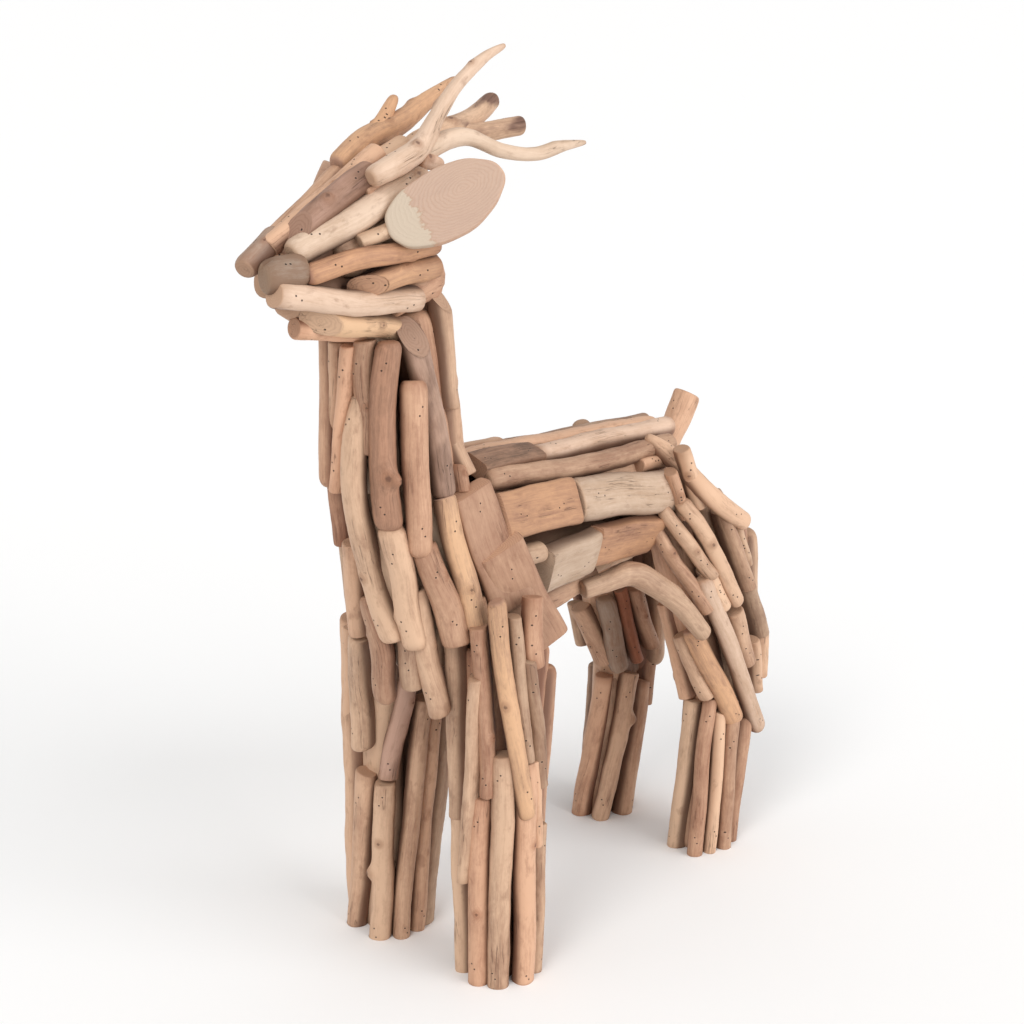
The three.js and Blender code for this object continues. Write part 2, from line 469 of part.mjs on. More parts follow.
// A tapering branch through points, each with its own width
function branch(points, widths, grow, sides = SHOWING_SIDES) {
  const spine = points.map((spot) => new THREE.Vector3(...spot));
  const curve = new THREE.CatmullRomCurve3(spine, false, "centripetal");
  const steps = 2 * (points.length - 1);
  const shape = new THREE.CylinderGeometry(1, 1, 1, sides, steps + 2);
  const spots = shape.attributes.position;
  const last = widths.length - 1;
  for (let index = 0; index < spots.count; index += 1) {
    const ring = Math.round((0.5 + spots.getY(index)) * (steps + 2));
    const inner = Math.min(Math.max(ring - 1, 0), steps);
    const end = ring === 0 || ring === steps + 2;
    const share = inner / steps;
    const spot = curve.getPointAt(share);
    const along = curve.getTangentAt(share);
    const across = along.clone().cross(UP).normalize();
    const above = across.clone().cross(along);
    const at = share * last;
    const width = THREE.MathUtils.lerp(widths[Math.floor(at)], widths[Math.ceil(at)], at % 1);
    const radius = (width / 2) * (end ? 0.6 : 1) + grow;
    const push = end ? (ring === 0 ? -1 : 1) * ((width * ROUND_END) / 2 + grow) : 0;
    spot.addScaledVector(across, spots.getX(index) * radius);
    spot.addScaledVector(above, spots.getZ(index) * radius);
    spot.addScaledVector(along, push);
    spots.setXYZ(index, spot.x, spot.y, spot.z);
  }
  return shape;
}

// Places of the free pieces, measured from the poll
function fromPoll(x, y, z) {
  return [POLL[0] + x, POLL[1] + y, POLL[2] + z];
}

// Places of the branch under the belly, measured from the trunk's front end
function fromTrunk(x, y, z) {
  return [x, CHEST_Y + y, TRUNK_Z + z];
}

const ANTLER_LEFT = [
  [[fromPoll(20, -56, 22), fromPoll(21, -40, 27), fromPoll(22, -23, 34), fromPoll(24, -13, 48),
    fromPoll(26, 0, 63), fromPoll(30, 16, 75), fromPoll(33, 27, 80)], [10, 12, 11, 7.5, 6.5, 6, 3]],
  [[fromPoll(21, -24, 31), fromPoll(26, 4, 37), fromPoll(31, 27, 29), fromPoll(35, 49, 26),
    fromPoll(37, 63, 28), fromPoll(39, 84, 29)], [11, 9.5, 7.5, 7, 7, 2.5]],
  [[fromPoll(22, -24, 28), fromPoll(26, -12, 25)], [9, 6]],
];
const ANTLER_RIGHT = [
  [[fromPoll(-10, -49, 25), fromPoll(-14, -26, 34), fromPoll(-18, 6, 42), fromPoll(-22, 32, 52),
    fromPoll(-25, 54, 60)], [11, 13, 12, 9, 4]],
  [[fromPoll(-14, -22, 34), fromPoll(-16, -13, 40), fromPoll(-20, 4, 54)], [10, 8, 5]],
];
const ANTLER_MIDDLE = [
  [[fromPoll(4, -18, 26), fromPoll(1, 4, 33), fromPoll(-1, 24, 37), fromPoll(-6, 48, 42),
    fromPoll(-11, 68, 49)], [13, 15, 14, 10.5, 9.5]],
  [[fromPoll(0, 16, 35), fromPoll(4, 44, 35), fromPoll(8, 68, 37)], [12, 10.5, 10]],
];

// How far each ear leans back and up; the right one hangs lower
const LEFT_EAR_LEAN = [0.676, 0.462];
const RIGHT_EAR_LEAN = [0.78, 0.25];

// An ear: a slice across a branch, cut on the slant, so that its face is a long oval
function ear(side, grow) {
  const outline = new THREE.Shape();
  outline.absellipse(EAR_LENGTH / 2 - 4, 0, EAR_LENGTH / 2 + grow, EAR_WIDTH / 2 + grow, 0, 2 * Math.PI);
  const slice = new THREE.ExtrudeGeometry(outline, {
    depth: EAR_THICKNESS - 2 * EAR_BEVEL + 2 * grow,
    bevelThickness: EAR_BEVEL,
    bevelSize: EAR_BEVEL,
    bevelOffset: -EAR_BEVEL,
    bevelSegments: 1,
    curveSegments: 12,
  });
  slice.translate(0, 0, EAR_BEVEL - grow);
  const reach = new THREE.Vector3(0.573 * side, ...(side > 0 ? LEFT_EAR_LEAN : RIGHT_EAR_LEAN)).normalize();
  const raw = new THREE.Vector3(0.62 * side, -0.727, 0.292);
  const face = raw.addScaledVector(reach, -raw.dot(reach)).normalize();
  const turned = new THREE.Matrix4().makeBasis(reach, face.clone().cross(reach), face);
  turned.setPosition(...fromPoll(27 * side, -46, -4));
  return slice.applyMatrix4(turned);
}

// The tail: a short stick that stands up from between the haunches, against the trunk's end
function tail(grow) {
  const root = [0, RUMP_Y - 7, TRUNK_Z - 12];
  const tip = [0, root[1] + TAIL_LEAN, root[2] + TAIL_RISE];
  return branch([root, tip], [TAIL_WIDTH - 3, TAIL_WIDTH], grow);
}

// The bent branch that runs from under the belly over the thigh
const BELLY_BRANCH = [
  [fromTrunk(31, 74, -40), fromTrunk(35, 91, -39), fromTrunk(40, 109, -38), fromTrunk(46, 123, -47),
    fromTrunk(52, 140, -62), fromTrunk(54, 162, -86)],
  [11, 12, 15, 13, 12, 11],
];

// Every piece, in the order in which they are cut: a later one gives way to an earlier one
function pieces() {
  const rows = [...HEAD_LIST, ...NECK_LIST, ...TRUNK_LIST, ...HAUNCH_LIST, ...THIGH_RIGHT_LIST,
    ...FORELEG_LIST, ...SHIN_LIST, ...RIGHT_SIDE, ...BACKING];
  const found = new Map();
  const add = (name, shape) => found.set(name, [...(found.get(name) ?? []), shape]);
  for (const [name, twigs] of [["antler_left", ANTLER_LEFT], ["antler_right", ANTLER_RIGHT],
    ["antler_middle", ANTLER_MIDDLE]]) {
    twigs.forEach(([points, widths]) => add(name, (grow) => branch(points, widths, grow)));
  }
  add("ear_left", (grow) => ear(1, grow));
  add("ear_right", (grow) => ear(-1, grow));
  add("tail_stub", tail);
  add("belly_branch", (grow) => branch(...BELLY_BRANCH, grow));
  const single = (row) => !row[0].includes("_sticks");
  [...rows.filter(single), ...rows.filter((row) => !single(row))].forEach((row) =>
    add(row[0], (grow) => rowShape(row, grow)));
  return found;
}

const TONES = [0xcda582, 0xe1c3a5, 0xb48c78, 0xd2a57d, 0xbeaa96, 0x966e55];

function wood(index) {
  const color = TONES[index % TONES.length];
  return new THREE.MeshStandardMaterial({ color, roughness: 0.75, metalness: 0 });
}

// The floor cuts the feet flat
const floorShape = new THREE.BoxGeometry(2 * FLOOR_BLOCK, 2 * FLOOR_BLOCK, FLOOR_BLOCK);
floorShape.translate(0, 0, -FLOOR_BLOCK / 2);
const floor = solid(floorShape);

// Several closed shapes as one solid
function joined(shapes) {
  return shapes.map(solid).reduce((whole, next) => whole.add(next));
}

// The space that shapes take up, for leaving out cuts that can't meet
function reach(shapes) {
  const box = new THREE.Box3();
  for (const shape of shapes) {
    box.union(new THREE.Box3().setFromBufferAttribute(shape.attributes.position));
  }
  return box;
}

// The triangles of the main body of a cut mesh, without the splinters that the cuts leave
function mainBody(triangles) {
  const leader = new Map();
  const find = (corner) => {
    let found = corner;
    while (leader.has(found)) found = leader.get(found);
    return found;
  };
  const count = triangles.length / 3;
  const corners = Array.from({ length: count }, (_, index) => triangles.slice(3 * index, 3 * index + 3));
  for (const [first, ...others] of corners) {
    for (const other of others) {
      if (find(other) !== find(first)) leader.set(find(other), find(first));
    }
  }
  const counts = new Map();
  corners.forEach(([first]) => counts.set(find(first), (counts.get(find(first)) ?? 0) + 1));
  const [main] = [...counts].sort((one, two) => two[1] - one[1])[0];
  return corners.filter(([first]) => find(first) === main).flatMap((corner) => [...corner]);
}

const deer = new THREE.Group();
const earlier = [];
for (const [name, makers] of pieces()) {
  const grownShapes = makers.map((make) => make(CLEARANCE));
  const box = reach(grownShapes);
  let body = joined(makers.map((make) => make(0))).subtract(floor);
  for (const other of earlier) {
    if (other.box.intersectsBox(box)) body = body.subtract(other.grown);
  }
  const cut = body.getMesh();
  const shape = new THREE.BufferGeometry();
  shape.setAttribute("position", new THREE.BufferAttribute(cut.vertProperties, 3));
  shape.setIndex(mainBody(cut.triVerts));
  const clean = mergeVertices(shape, MERGE_LENGTH);
  clean.translate(0, MIDDLE_SHIFT, 0);
  clean.computeVertexNormals();
  const mesh = new THREE.Mesh(clean, wood(earlier.length));
  mesh.name = name;
  deer.add(mesh);
  earlier.push({ grown: joined(grownShapes).add(body), box });
}

export default deer;
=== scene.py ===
import json
import math
import zlib

import bpy
import numpy as np
from mathutils import Matrix, Vector


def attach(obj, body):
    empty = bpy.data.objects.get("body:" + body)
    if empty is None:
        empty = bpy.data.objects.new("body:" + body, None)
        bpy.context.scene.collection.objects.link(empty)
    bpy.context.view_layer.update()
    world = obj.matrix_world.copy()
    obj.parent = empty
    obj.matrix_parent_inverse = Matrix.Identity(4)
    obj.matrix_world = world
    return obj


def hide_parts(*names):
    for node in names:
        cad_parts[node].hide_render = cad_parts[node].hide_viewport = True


bl_info = {
    "name": "Driftwood Deer",
    "version": (1, 0, 0),
    "blender": (4, 5, 0),
    "location": "View3D > Sidebar > Driftwood Deer",
    "description":
        "Lays the worn sticks, branches and ear slices of a driftwood deer over its frame",
    "category": "Add Mesh",
}

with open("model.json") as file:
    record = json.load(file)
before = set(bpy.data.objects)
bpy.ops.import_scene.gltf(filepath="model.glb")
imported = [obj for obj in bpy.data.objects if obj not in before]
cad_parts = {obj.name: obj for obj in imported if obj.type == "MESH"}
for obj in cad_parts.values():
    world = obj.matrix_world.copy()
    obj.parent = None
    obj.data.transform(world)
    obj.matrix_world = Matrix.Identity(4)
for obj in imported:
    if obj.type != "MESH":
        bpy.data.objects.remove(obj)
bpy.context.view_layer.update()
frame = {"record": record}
SLOT_OF_NODE = {part["node"]: part["material_slot"] for part in frame["record"]["subparts"]}

MM = 0.001
UP = np.array([0.0, 0.0, 1.0])
FRONT = np.array([0.0, -1.0, 0.0])
SIDE = np.array([1.0, 0.0, 0.0])

# Driving sizes of the animal, in millimetres
FORELEG_HEIGHT = 192
HOCK_HEIGHT = 105
FORE_STANCE = 84
HIND_STANCE = 78
FORE_FEET_FORWARD = 99
HIND_FEET_BACK = 101
TRUNK_LENGTH = 185
TRUNK_RISE = 46
TRUNK_HALF_WIDTH = 44
TRUNK_HALF_DEPTH = 46
NECK_RISE = 196
NECK_HALF_WIDTH = 31
NECK_HALF_DEPTH = 34
CHEST_HALF_WIDTH = 56
CHEST_HALF_DEPTH = 60
HEAD_LENGTH = 115
HEAD_HALF_WIDTH = 37
HEAD_HALF_DEPTH = 52
MUZZLE_HALF_WIDTH = 18
LEG_HALF_WIDTH = 25
SHIN_HALF_WIDTH = 20
SHIN_HALF_DEPTH = 24
HAUNCH_HALF_WIDTH = 28
HAUNCH_HALF_DEPTH = 51
EAR_LENGTH = 62
EAR_WIDTH = 34
EAR_THICKNESS = 8
TAIL_WIDTH = 17
TAIL_RISE = 56
TAIL_LEAN = 37
MIDDLE_SHIFT = 38

# Heights and places that the parts of the body share
CHEST_Z = FORELEG_HEIGHT - 7
TRUNK_Z = FORELEG_HEIGHT + TRUNK_RISE
NECK_TOP_Z = CHEST_Z + NECK_RISE
CHEST_Y = 12 - FORE_FEET_FORWARD
NECK_Y = CHEST_Y - 46
RUMP_Y = CHEST_Y + TRUNK_LENGTH
HOCK_Y = HIND_FEET_BACK + 13
POLL = (0, NECK_Y + 24, NECK_TOP_Z + 39)

# Shares of a stick's width that its ends take
ROUND_END = 0.36
SLANT_LENGTH = 1.5
POINT_LENGTH = 1.6
BOARD_LEAN = 0.12
BOARD_SQUARENESS = 5.5
ROUND_SQUARENESS = 2.15
FACET_SOFTNESS = 0.5
FACET_BLUR = 0.6

# Sticks that hardly show have a coarser mesh: faces round them and rings along them
INNER_LIFT = -8
INNER_SIDES = 12
INNER_STEP = 5
HIDDEN_SIDES = 0.75
HIDDEN_STEP = 1.35
BOARD_SIDES = 1.5

# Heights of what a stick carries, in knots, and how often one without any has a knot
FEATURE_HEIGHTS = {"knot": 1, "stub": 3.4, "hole": -2.2}
KNOT_CHANCE = 0.45


def neck_station(along, y, width, depth):
    return (along, 0, y, CHEST_Z + NECK_RISE * along / 100, width, depth)


def trunk_station(along, width, depth):
    return (along, 0, CHEST_Y + TRUNK_LENGTH * along / 100, TRUNK_Z - 0.04 * along, width, depth)


def head_station(along, width, depth, drop):
    reach = HEAD_LENGTH * along / 100
    return (along, 0, POLL[1] - 0.97 * reach, POLL[2] - drop - 0.235 * reach, width, depth)


def limbs(side):
    """The stations of one side's legs: share along, middle x, y and z, half width, half depth."""
    fore_x, hind_x = side * FORE_STANCE / 2, side * HIND_STANCE / 2
    thigh_z = (HOCK_HEIGHT + TRUNK_Z) / 2 - 16
    knee_y, knee_z = 4 - FORE_FEET_FORWARD, 0.48 * FORELEG_HEIGHT
    foreleg = [
        (0, fore_x, -FORE_FEET_FORWARD, 0, LEG_HALF_WIDTH, LEG_HALF_WIDTH - 1),
        (48, fore_x - side, knee_y, knee_z, LEG_HALF_WIDTH + 2, LEG_HALF_WIDTH + 3),
        (100, fore_x - 4 * side, CHEST_Y, FORELEG_HEIGHT, LEG_HALF_WIDTH + 8, LEG_HALF_WIDTH + 15),
    ]
    shin = [
        (0, hind_x, HIND_FEET_BACK, 0, SHIN_HALF_WIDTH, SHIN_HALF_DEPTH),
        (100, hind_x, HOCK_Y, HOCK_HEIGHT, SHIN_HALF_WIDTH + 1, SHIN_HALF_DEPTH + 3),
    ]
    low_z, high_z = HOCK_HEIGHT - 15, TRUNK_Z - 3
    haunch = [
        (0, hind_x - side, HOCK_Y + 6, low_z, HAUNCH_HALF_WIDTH - 5, HAUNCH_HALF_DEPTH - 19),
        (50, hind_x - side, HOCK_Y - 4, thigh_z, HAUNCH_HALF_WIDTH - 2, HAUNCH_HALF_DEPTH - 9),
        (100, hind_x - 9 * side, RUMP_Y - 4, high_z, HAUNCH_HALF_WIDTH, HAUNCH_HALF_DEPTH),
    ]
    return {"foreleg": (FRONT, foreleg), "shin": (FRONT, shin), "haunch": (FRONT, haunch)}


# The skins: body shapes that the faces of the sticks lie on. Angle 0 looks along the first
# direction of each, and angle 90 towards the deer's left.
SKINS = {
    "neck": (FRONT, [
        neck_station(0, CHEST_Y - 2, CHEST_HALF_WIDTH, CHEST_HALF_DEPTH),
        neck_station(25, CHEST_Y - 14, CHEST_HALF_WIDTH - 9, CHEST_HALF_DEPTH - 9),
        neck_station(50, NECK_Y, NECK_HALF_WIDTH + 3, NECK_HALF_DEPTH + 2),
        neck_station(75, NECK_Y, NECK_HALF_WIDTH, NECK_HALF_DEPTH),
        neck_station(100, NECK_Y - 3, NECK_HALF_WIDTH - 2, NECK_HALF_DEPTH - 1),
    ]),
    "trunk": (UP, [
        trunk_station(0, TRUNK_HALF_WIDTH + 2, TRUNK_HALF_DEPTH + 5),
        trunk_station(30, TRUNK_HALF_WIDTH, TRUNK_HALF_DEPTH),
        trunk_station(65, TRUNK_HALF_WIDTH - 2, TRUNK_HALF_DEPTH - 5),
        trunk_station(100, TRUNK_HALF_WIDTH - 4, TRUNK_HALF_DEPTH - 6),
    ]),
    "head": (UP, [
        head_station(0, HEAD_HALF_WIDTH, HEAD_HALF_DEPTH, 6),
        head_station(45, HEAD_HALF_WIDTH - 5, HEAD_HALF_DEPTH - 7, 7),
        head_station(100, MUZZLE_HALF_WIDTH, MUZZLE_HALF_WIDTH + 2, 3),
    ]),
}
for _side, _sign in (("left", 1), ("right", -1)):
    for _limb, _skin in limbs(_sign).items():
        SKINS[f"{_limb}_{_side}"] = _skin


def bundle_on(skin):
    """The piece that the unnamed sticks on a skin belong to."""
    limb, _, side = skin.partition("_")
    return f"{limb}_sticks_{side}" if side else f"{limb}_sticks"


def laid_on(skin, table):
    """Rows whose places lie on this skin, unless a place names another."""
    return [[*row[:5], *(spot if len(spot) > 2 else (skin, *spot) for spot in row[5:])]
            for row in table]


def bundle(skin, table):
    """Rows of unnamed sticks: width, thickness, lift, then angle and share of both ends."""
    return [[bundle_on(skin), *row[:3], "cut", (skin, *row[3:5]), (skin, *row[5:])]
            for row in table]


# The cutting lists. A row is one stick: the piece that it belongs to, its width, its
# thickness, how far its face stands off the skin, the form of its ends, and the places that
# it runs through, each a skin, an angle round it and a share along it.
HEAD_LIST = [
    *laid_on("head", [
        ("bridge_stick", 12, 12, 1, "cut", (-8, 88), (9, 20)),
        ("brow_stick_left", 13.5, 13, 4, "slant", (18, 88), (24, 32)),
        ("temple_stick_left", 14.5, 14, 1, "round", (38, 85), (49, 11)),
        ("cheek_stick_left", 10.5, 10, 2, "round", (72, 85), (78, 58), (90, 20)),
        ("cheek_back_stick_left", 11.5, 11, 2, "slant", (100, 65), (103, 21)),
        ("jaw_stick_left", 12.5, 13, 2, "cut", (78, 101), (110, 69), (124, 31)),
        ("chin_stick_left", 13, 12, 3, "slant", (123, 87), (155, 37)),
        ("nose_knob", 17, 16, 2, "round", (40, 101), (62, 82)),
        ("nostril_stick_right", 13, 12, 1, "round", (-16, 102), (-24, 78)),
    ]),
    *bundle("head", [
        (8, 12, -1, 66, 56, 68, 35), (12, 12, -2, 30, 41, 34, 16), (13, 13, 0, -28, 80, -26, 30),
        (15, 14, 1, -46, 86, -50, 12), (12, 13, 1, -72, 84, -84, 22),
        (14, 14, 1, -92, 84, -122, 30), (13, 13, 0, -124, 74, -154, 36),
        (13, 12, 1, -103, 62, -104, 14), (10, 11, 0, 152, 88, 174, 44), (16, 15, -6, 0, 28, 2, 0),
        (17, 16, -4, 72, 26, 70, 0), (17, 16, -3, -44, 22, -44, -2), (17, 16, -3, -90, 26, -90, 0),
        (17, 16, -4, 128, 40, 126, 14), (17, 16, -3, -135, 40, -130, 10),
    ]),
]

NECK_LIST = [
    *laid_on("neck", [
        ("nape_stick_left", 12, 12, 2, "slant", (120, 103), (137, 85), (136, 69)),
        ("throat_stick_long", 14, 13, 3, "round", (72, 80), (68, 61), (50, 40)),
        ("throat_stick_knotted", 14, 12, 3, "round", (49, 91), (38, 62), (34, 49)),
        ("breast_stick_bent", 13, 13, 3, "point", (13, 77), (8, 51), (2, 36), (14, 14)),
        ("neck_stick_side", 13, 13, 1, "slant", (75, 96), (90, 73), (98, 47)),
        ("shoulder_board_rear", 27, 9, 6, "board", (99, 31), (103, 1)),
        ("shoulder_board_front", 26, 8, 3, "board", (116, 44), (92, 15)),
        ("chest_stick_upper", 13, 12, 1, "cut", (94, 47), (77, 37), (66, 14)),
        ("chest_stick_square", 15, 13, 1, "cut", (55, 41), (53, 11)),
        ("chest_stick_front", 14, 13, 2, "round", (37, 49), (27, 12)),
        ("chest_stick_lower", 13.5, 12, 3, "round", (-7, 31), (2, 11), (2, -4)),
        ("breast_post", 12.5, 13, 2, "round", (-26, 10), ("foreleg_right", -1, 78),
         ("foreleg_right", 0, 59)),
    ]),
    *bundle("neck", [
        (13, 14, 0, 33, 32, 33, -8), (11.5, 13, -1, 23, 91, 18, 61), (8, 12, 0, -15, 90, -34, 62),
        (8, 14, 2, 8, 90, -15, 50), (9, 15, 3, -42, 62, -39, 40), (11, 14, 1, -22, 43, -26, 11),
        (13, 13, -2, 20, 19, 20, 0), (8, 12, 2, 147, 59, 133, 43), (8, 12, 0, 136, 46, 112, 43),
        (13, 12, -2, 70, 20, 72, -4),
    ]),
]

TRUNK_LIST = [
    *laid_on("trunk", [
        ("withers_board", 16, 9, 3, "board", (21, -2), (19, 28)),
        ("back_rail_top", 12, 12, 1, "cut", (14, 31), (14, 99)),
        ("back_rail_left", 12, 12, 2, "round", (35, -1), (37, 45), (38, 91)),
        ("flank_board_front", 26, 10, 3, "board", (61, -5), (65, 30)),
        ("flank_stick_round", 25, 14, 4, "cut", (64, 32), (81, 83)),
        ("flank_block", 27, 12, 3, "board", (109, 14), (106, 39)),
        ("flank_board_rear", 25, 10, 2, "board", (103, 38), (118, 74)),
    ]),
    *bundle("trunk", [
        (8, 12, -1, 49, 70, 52, 84), (12, 20, 7, 146, 24, 150, 52), (12, 14, 1, 91, 3, 93, 14),
    ]),
]

HAUNCH_LIST = [
    *laid_on("haunch_left", [
        ("rump_branch_left", 12, 11, 8, "point", ("trunk", 31, 77), ("trunk", 58, 83), (65, 107),
         (98, 87)),
        ("haunch_stick_pale", 11, 11, 4, "round", (50, 74), (72, 27), (110, -14)),
        ("haunch_stick_upper", 10, 10, 4, "round", (44, 106), (59, 89), (80, 58)),
        ("haunch_stick_middle", 9, 9, 4, "round", (23, 105), (42, 90), (58, 73)),
        ("haunch_stick_front", 9, 9, 3, "cut", (7, 100), (27, 82), (46, 60)),
        ("haunch_stick_wide", 13, 12, 2, "round", (21, 53), (45, 26), (67, -3)),
    ]),
    *bundle("haunch_left", [
        (10, 13, 1, -2, 48, 31, 14), (10, 14, 2, 56, 76, 66, 58), (9, 15, 3, 82, 95, 98, 59),
        (9, 15, 3, 100, 60, 130, 31), (12, 14, 2, 76, 55, 94, 24), (8, 12, 0, -35, 60, -18, 11),
        (7, 12, 1, 105, 34, 130, 2), (9, 15, 3, 130, 33, 132, 9), (7, 12, 1, 96, 87, 102, 68),
        (8, 14, 1, 41, 117, 48, 98), (9, 14, 1, 56, 124, 62, 100),
    ]),
]

THIGH_RIGHT_LIST = [
    *laid_on("haunch_right", [
        ("thigh_stick_pale", 13, 12, 3, "round", (40, 54), (44, 30), (47, 12)),
        ("thigh_stick_bark", 9, 9, 0, "cut", (58, 56), (66, 33), (75, 13)),
    ]),
    *bundle("haunch_right", [
        (9, 12, 0, -34, 46, -35, 23), (13, 13, 1, -5, 48, 24, 17), (10, 13, 2, 75, 54, 100, 16),
    ]),
]

FORELEG_LIST = [
    *laid_on("foreleg_left", [
        ("foreleg_left_front_post", 12.5, 12, 0, "cut", (44, 71), (40, -2)),
        ("foreleg_left_outer_post", 12.5, 12, 0, "cut", (75, 68), (86, -2)),
        ("foreleg_left_long_stick", 10, 10, 4, "round", (36, 116), (51, 83), (72, 52)),
    ]),
    *bundle("foreleg_left", [
        (8, 13, 1, 53, 111, 72, 69), (11, 12, 0, 72, 116, 76, 96), (8, 14, 2, 68, 99, 95, 60),
        (7, 12, 0, 81, 69, 98, 42), (9, 14, 2, 21, 108, 26, 59), (8, 16, 4, 20, 94, -9, 31),
        (10.5, 13, 1, -15, 103, -46, 47), (12, 13, 0, 14, 58, 2, -2), (9, 13, 0, -45, 53, -39, -2),
        (8, 13, 0, 106, 48, 124, -2),
    ]),
    *laid_on("foreleg_right", [
        ("foreleg_right_front_post", 12.5, 12, 2, "cut", (35, 50), (26, -3)),
        ("foreleg_right_outer_post", 12, 12, 1, "cut", (5, 52), (-34, -4)),
        ("foreleg_right_brown_stick", 11, 11, 0, "cut", (61, 87), (53, 74), (38, 51)),
    ]),
    *bundle("foreleg_right", [
        (9.5, 13, 1, 77, 76, 60, -2), (9, 13, 0, 96, 75, 92, -2), (8, 13, 0, -17, 96, -41, 62),
    ]),
]

SHIN_LIST = [
    *laid_on("shin_left", [
        ("shin_left_middle_post", 9.5, 10, 1, "cut", (32, 95), (30, -3)),
    ]),
    *bundle("shin_left", [
        (10, 12, 0, -9, 92, -34, -4), (8, 11, -1, 58, 87, 66, -3), (9, 12, 1, 80, 81, 97, -4),
        (9, 14, 2, 118, 80, 127, -4),
    ]),
    *laid_on("shin_right", [
        ("shin_right_middle_post", 12, 12, 2, "cut", (74, 92), (40, -3)),
    ]),
    *bundle("shin_right", [
        (12, 13, 1, 21, 90, -18, -3), (11, 13, 1, 120, 84, 94, -4), (9, 15, 3, 130, 106, 131, 67),
    ]),
]

# Knots, stubs and holes that single sticks carry: kind, share along, angle from the outer
# face, radius in millimetres
FEATURES = {
    "brow_stick_left": [("stub", 0.5, 10, 3.2)],
    "nose_knob": [("hole", 0.1, -50, 2.6)],
    "temple_stick_left": [("knot", 0.92, -10, 3.4)],
    "throat_stick_knotted": [("stub", 0.72, -55, 2.8), ("knot", 0.70, -20, 4)],
    "breast_stick_bent": [("knot", 0.72, 10, 3.5)],
    "nape_stick_left": [("knot", 0.8, -30, 3)],
    "foreleg_left_long_stick": [("knot", 0.45, 30, 3)],
    "foreleg_left_outer_post": [("knot", 0.35, -20, 3)],
    "foreleg_right_front_post": [("stub", 0.55, 60, 3.4), ("knot", 0.35, 10, 3)],
    "shin_right_middle_post": [("stub", 0.3, -50, 3.2)],
    "belly_branch": [("knot", 0.62, 10, 4), ("knot", 0.3, -50, 3)],
    "haunch_stick_upper": [("knot", 0.4, 0, 3)],
    "rump_branch_left": [("knot", 0.3, 20, 3)],
    "antler_left": [("knot", 0.3, 40, 3.4), ("knot", 0.55, -40, 2.6), ("knot", 0.8, 20, 2)],
    "antler_right": [("knot", 0.4, 30, 3), ("knot", 0.66, -30, 3)],
    "antler_middle": [("knot", 0.45, 20, 4)],
}

# Boards that face further forward than the skin under them, by this angle
TURNS = {"shoulder_board_rear": 30, "shoulder_board_front": 25}


def mirrored(row, piece, slip):
    """A row of the same stick on the deer's other side, where the coat is plainer."""
    first, last = [(skin.replace("left", "right"), -angle, along + slip)
                   for skin, angle, along in (row[5], row[-1])]
    return [piece, row[1], row[2], row[3], "plain", first, last]


def far_side(rows, piece):
    return [mirrored(row, piece, index % 3 - 1) for index, row in enumerate(rows)]


def around(skin, angles, start, end, width, lift, twist=4):
    """Sticks laid side by side round a skin, their ends stepping in and out."""
    rows = []
    for index, angle in enumerate(angles):
        step = index % 3 * 3
        places = [(skin, angle, start + step), (skin, angle + twist, end - step)]
        rows.append([bundle_on(skin), width, width - 1, lift, "plain", *places])
    return rows


RIGHT_SIDE = [
    *far_side([row for row in NECK_LIST if row[5][1] > 40], "neck_sticks"),
    *far_side(TRUNK_LIST, "trunk_sticks"),
    *far_side(
        [row for row in HAUNCH_LIST
         if row[5][1] > 0 and row[5][2] < 110 and row[0] != "haunch_stick_wide"],
        "haunch_sticks_right",
    ),
]

# Skin, angles, start and end of the sticks, their width, their lift and their twist
BACKING = [row for spec in (
    ("neck", [155, 200], 44, 96, 20, 0, 2),
    ("neck", [18, 90, 162, 234, 306], 0, 50, 34, -11),
    ("neck", [0, 120, 240], 40, 98, 22, -9),
    ("trunk", [-6], 4, 96, 17, 0),
    ("trunk", [152, 180, 208], 6, 92, 20, -1),
    ("trunk", [45, 135, 225, 315], 2, 100, 32, -10),
    ("head", [0, 180], 2, 90, 26, -9),
    ("head", [70, 130, 230, 290], 4, 62, 24, -8),
    ("foreleg_left", [166, 215, 270], -4, 90, 17, -3),
    ("foreleg_left", [0, 180], -4, 100, 24, -10),
    ("foreleg_right", [130, 175, 220, 265, 310], -4, 100, 17, 0),
    ("foreleg_right", [0, 180], -4, 100, 24, -10),
    ("shin_left", [165, 215, 265], -4, 96, 16, 0),
    ("shin_left", [0, 180], -4, 100, 20, -9),
    ("shin_right", [165, 215, 265], -4, 96, 16, 0),
    ("shin_right", [0, 180], -4, 100, 20, -9),
    ("haunch_left", [160, 200], 2, 72, 18, 0),
    ("haunch_left", [240, 285], 2, 88, 18, 0),
    ("haunch_left", [180], 0, 76, 26, -10),
    ("haunch_right", [180], 0, 76, 26, -10),
    ("haunch_left", [0, 90], 0, 100, 26, -10),
    ("haunch_right", [125], 2, 88, 18, 0),
    ("haunch_right", [160, 195], 2, 72, 18, 0),
    ("haunch_right", [0, 270], 0, 100, 26, -10),
) for row in around(*spec)]

ALL_ROWS = [
    *HEAD_LIST, *NECK_LIST, *TRUNK_LIST, *HAUNCH_LIST, *THIGH_RIGHT_LIST, *FORELEG_LIST,
    *SHIN_LIST, *RIGHT_SIDE, *BACKING,
]
SEEN_ROWS = len(ALL_ROWS) - len(RIGHT_SIDE) - len(BACKING)


def limb_of(start, points, widths):
    """One limb of a branch: its points, given from a place on the body, and its width at each."""
    return [tuple(np.add(start, point)) for point in points], widths


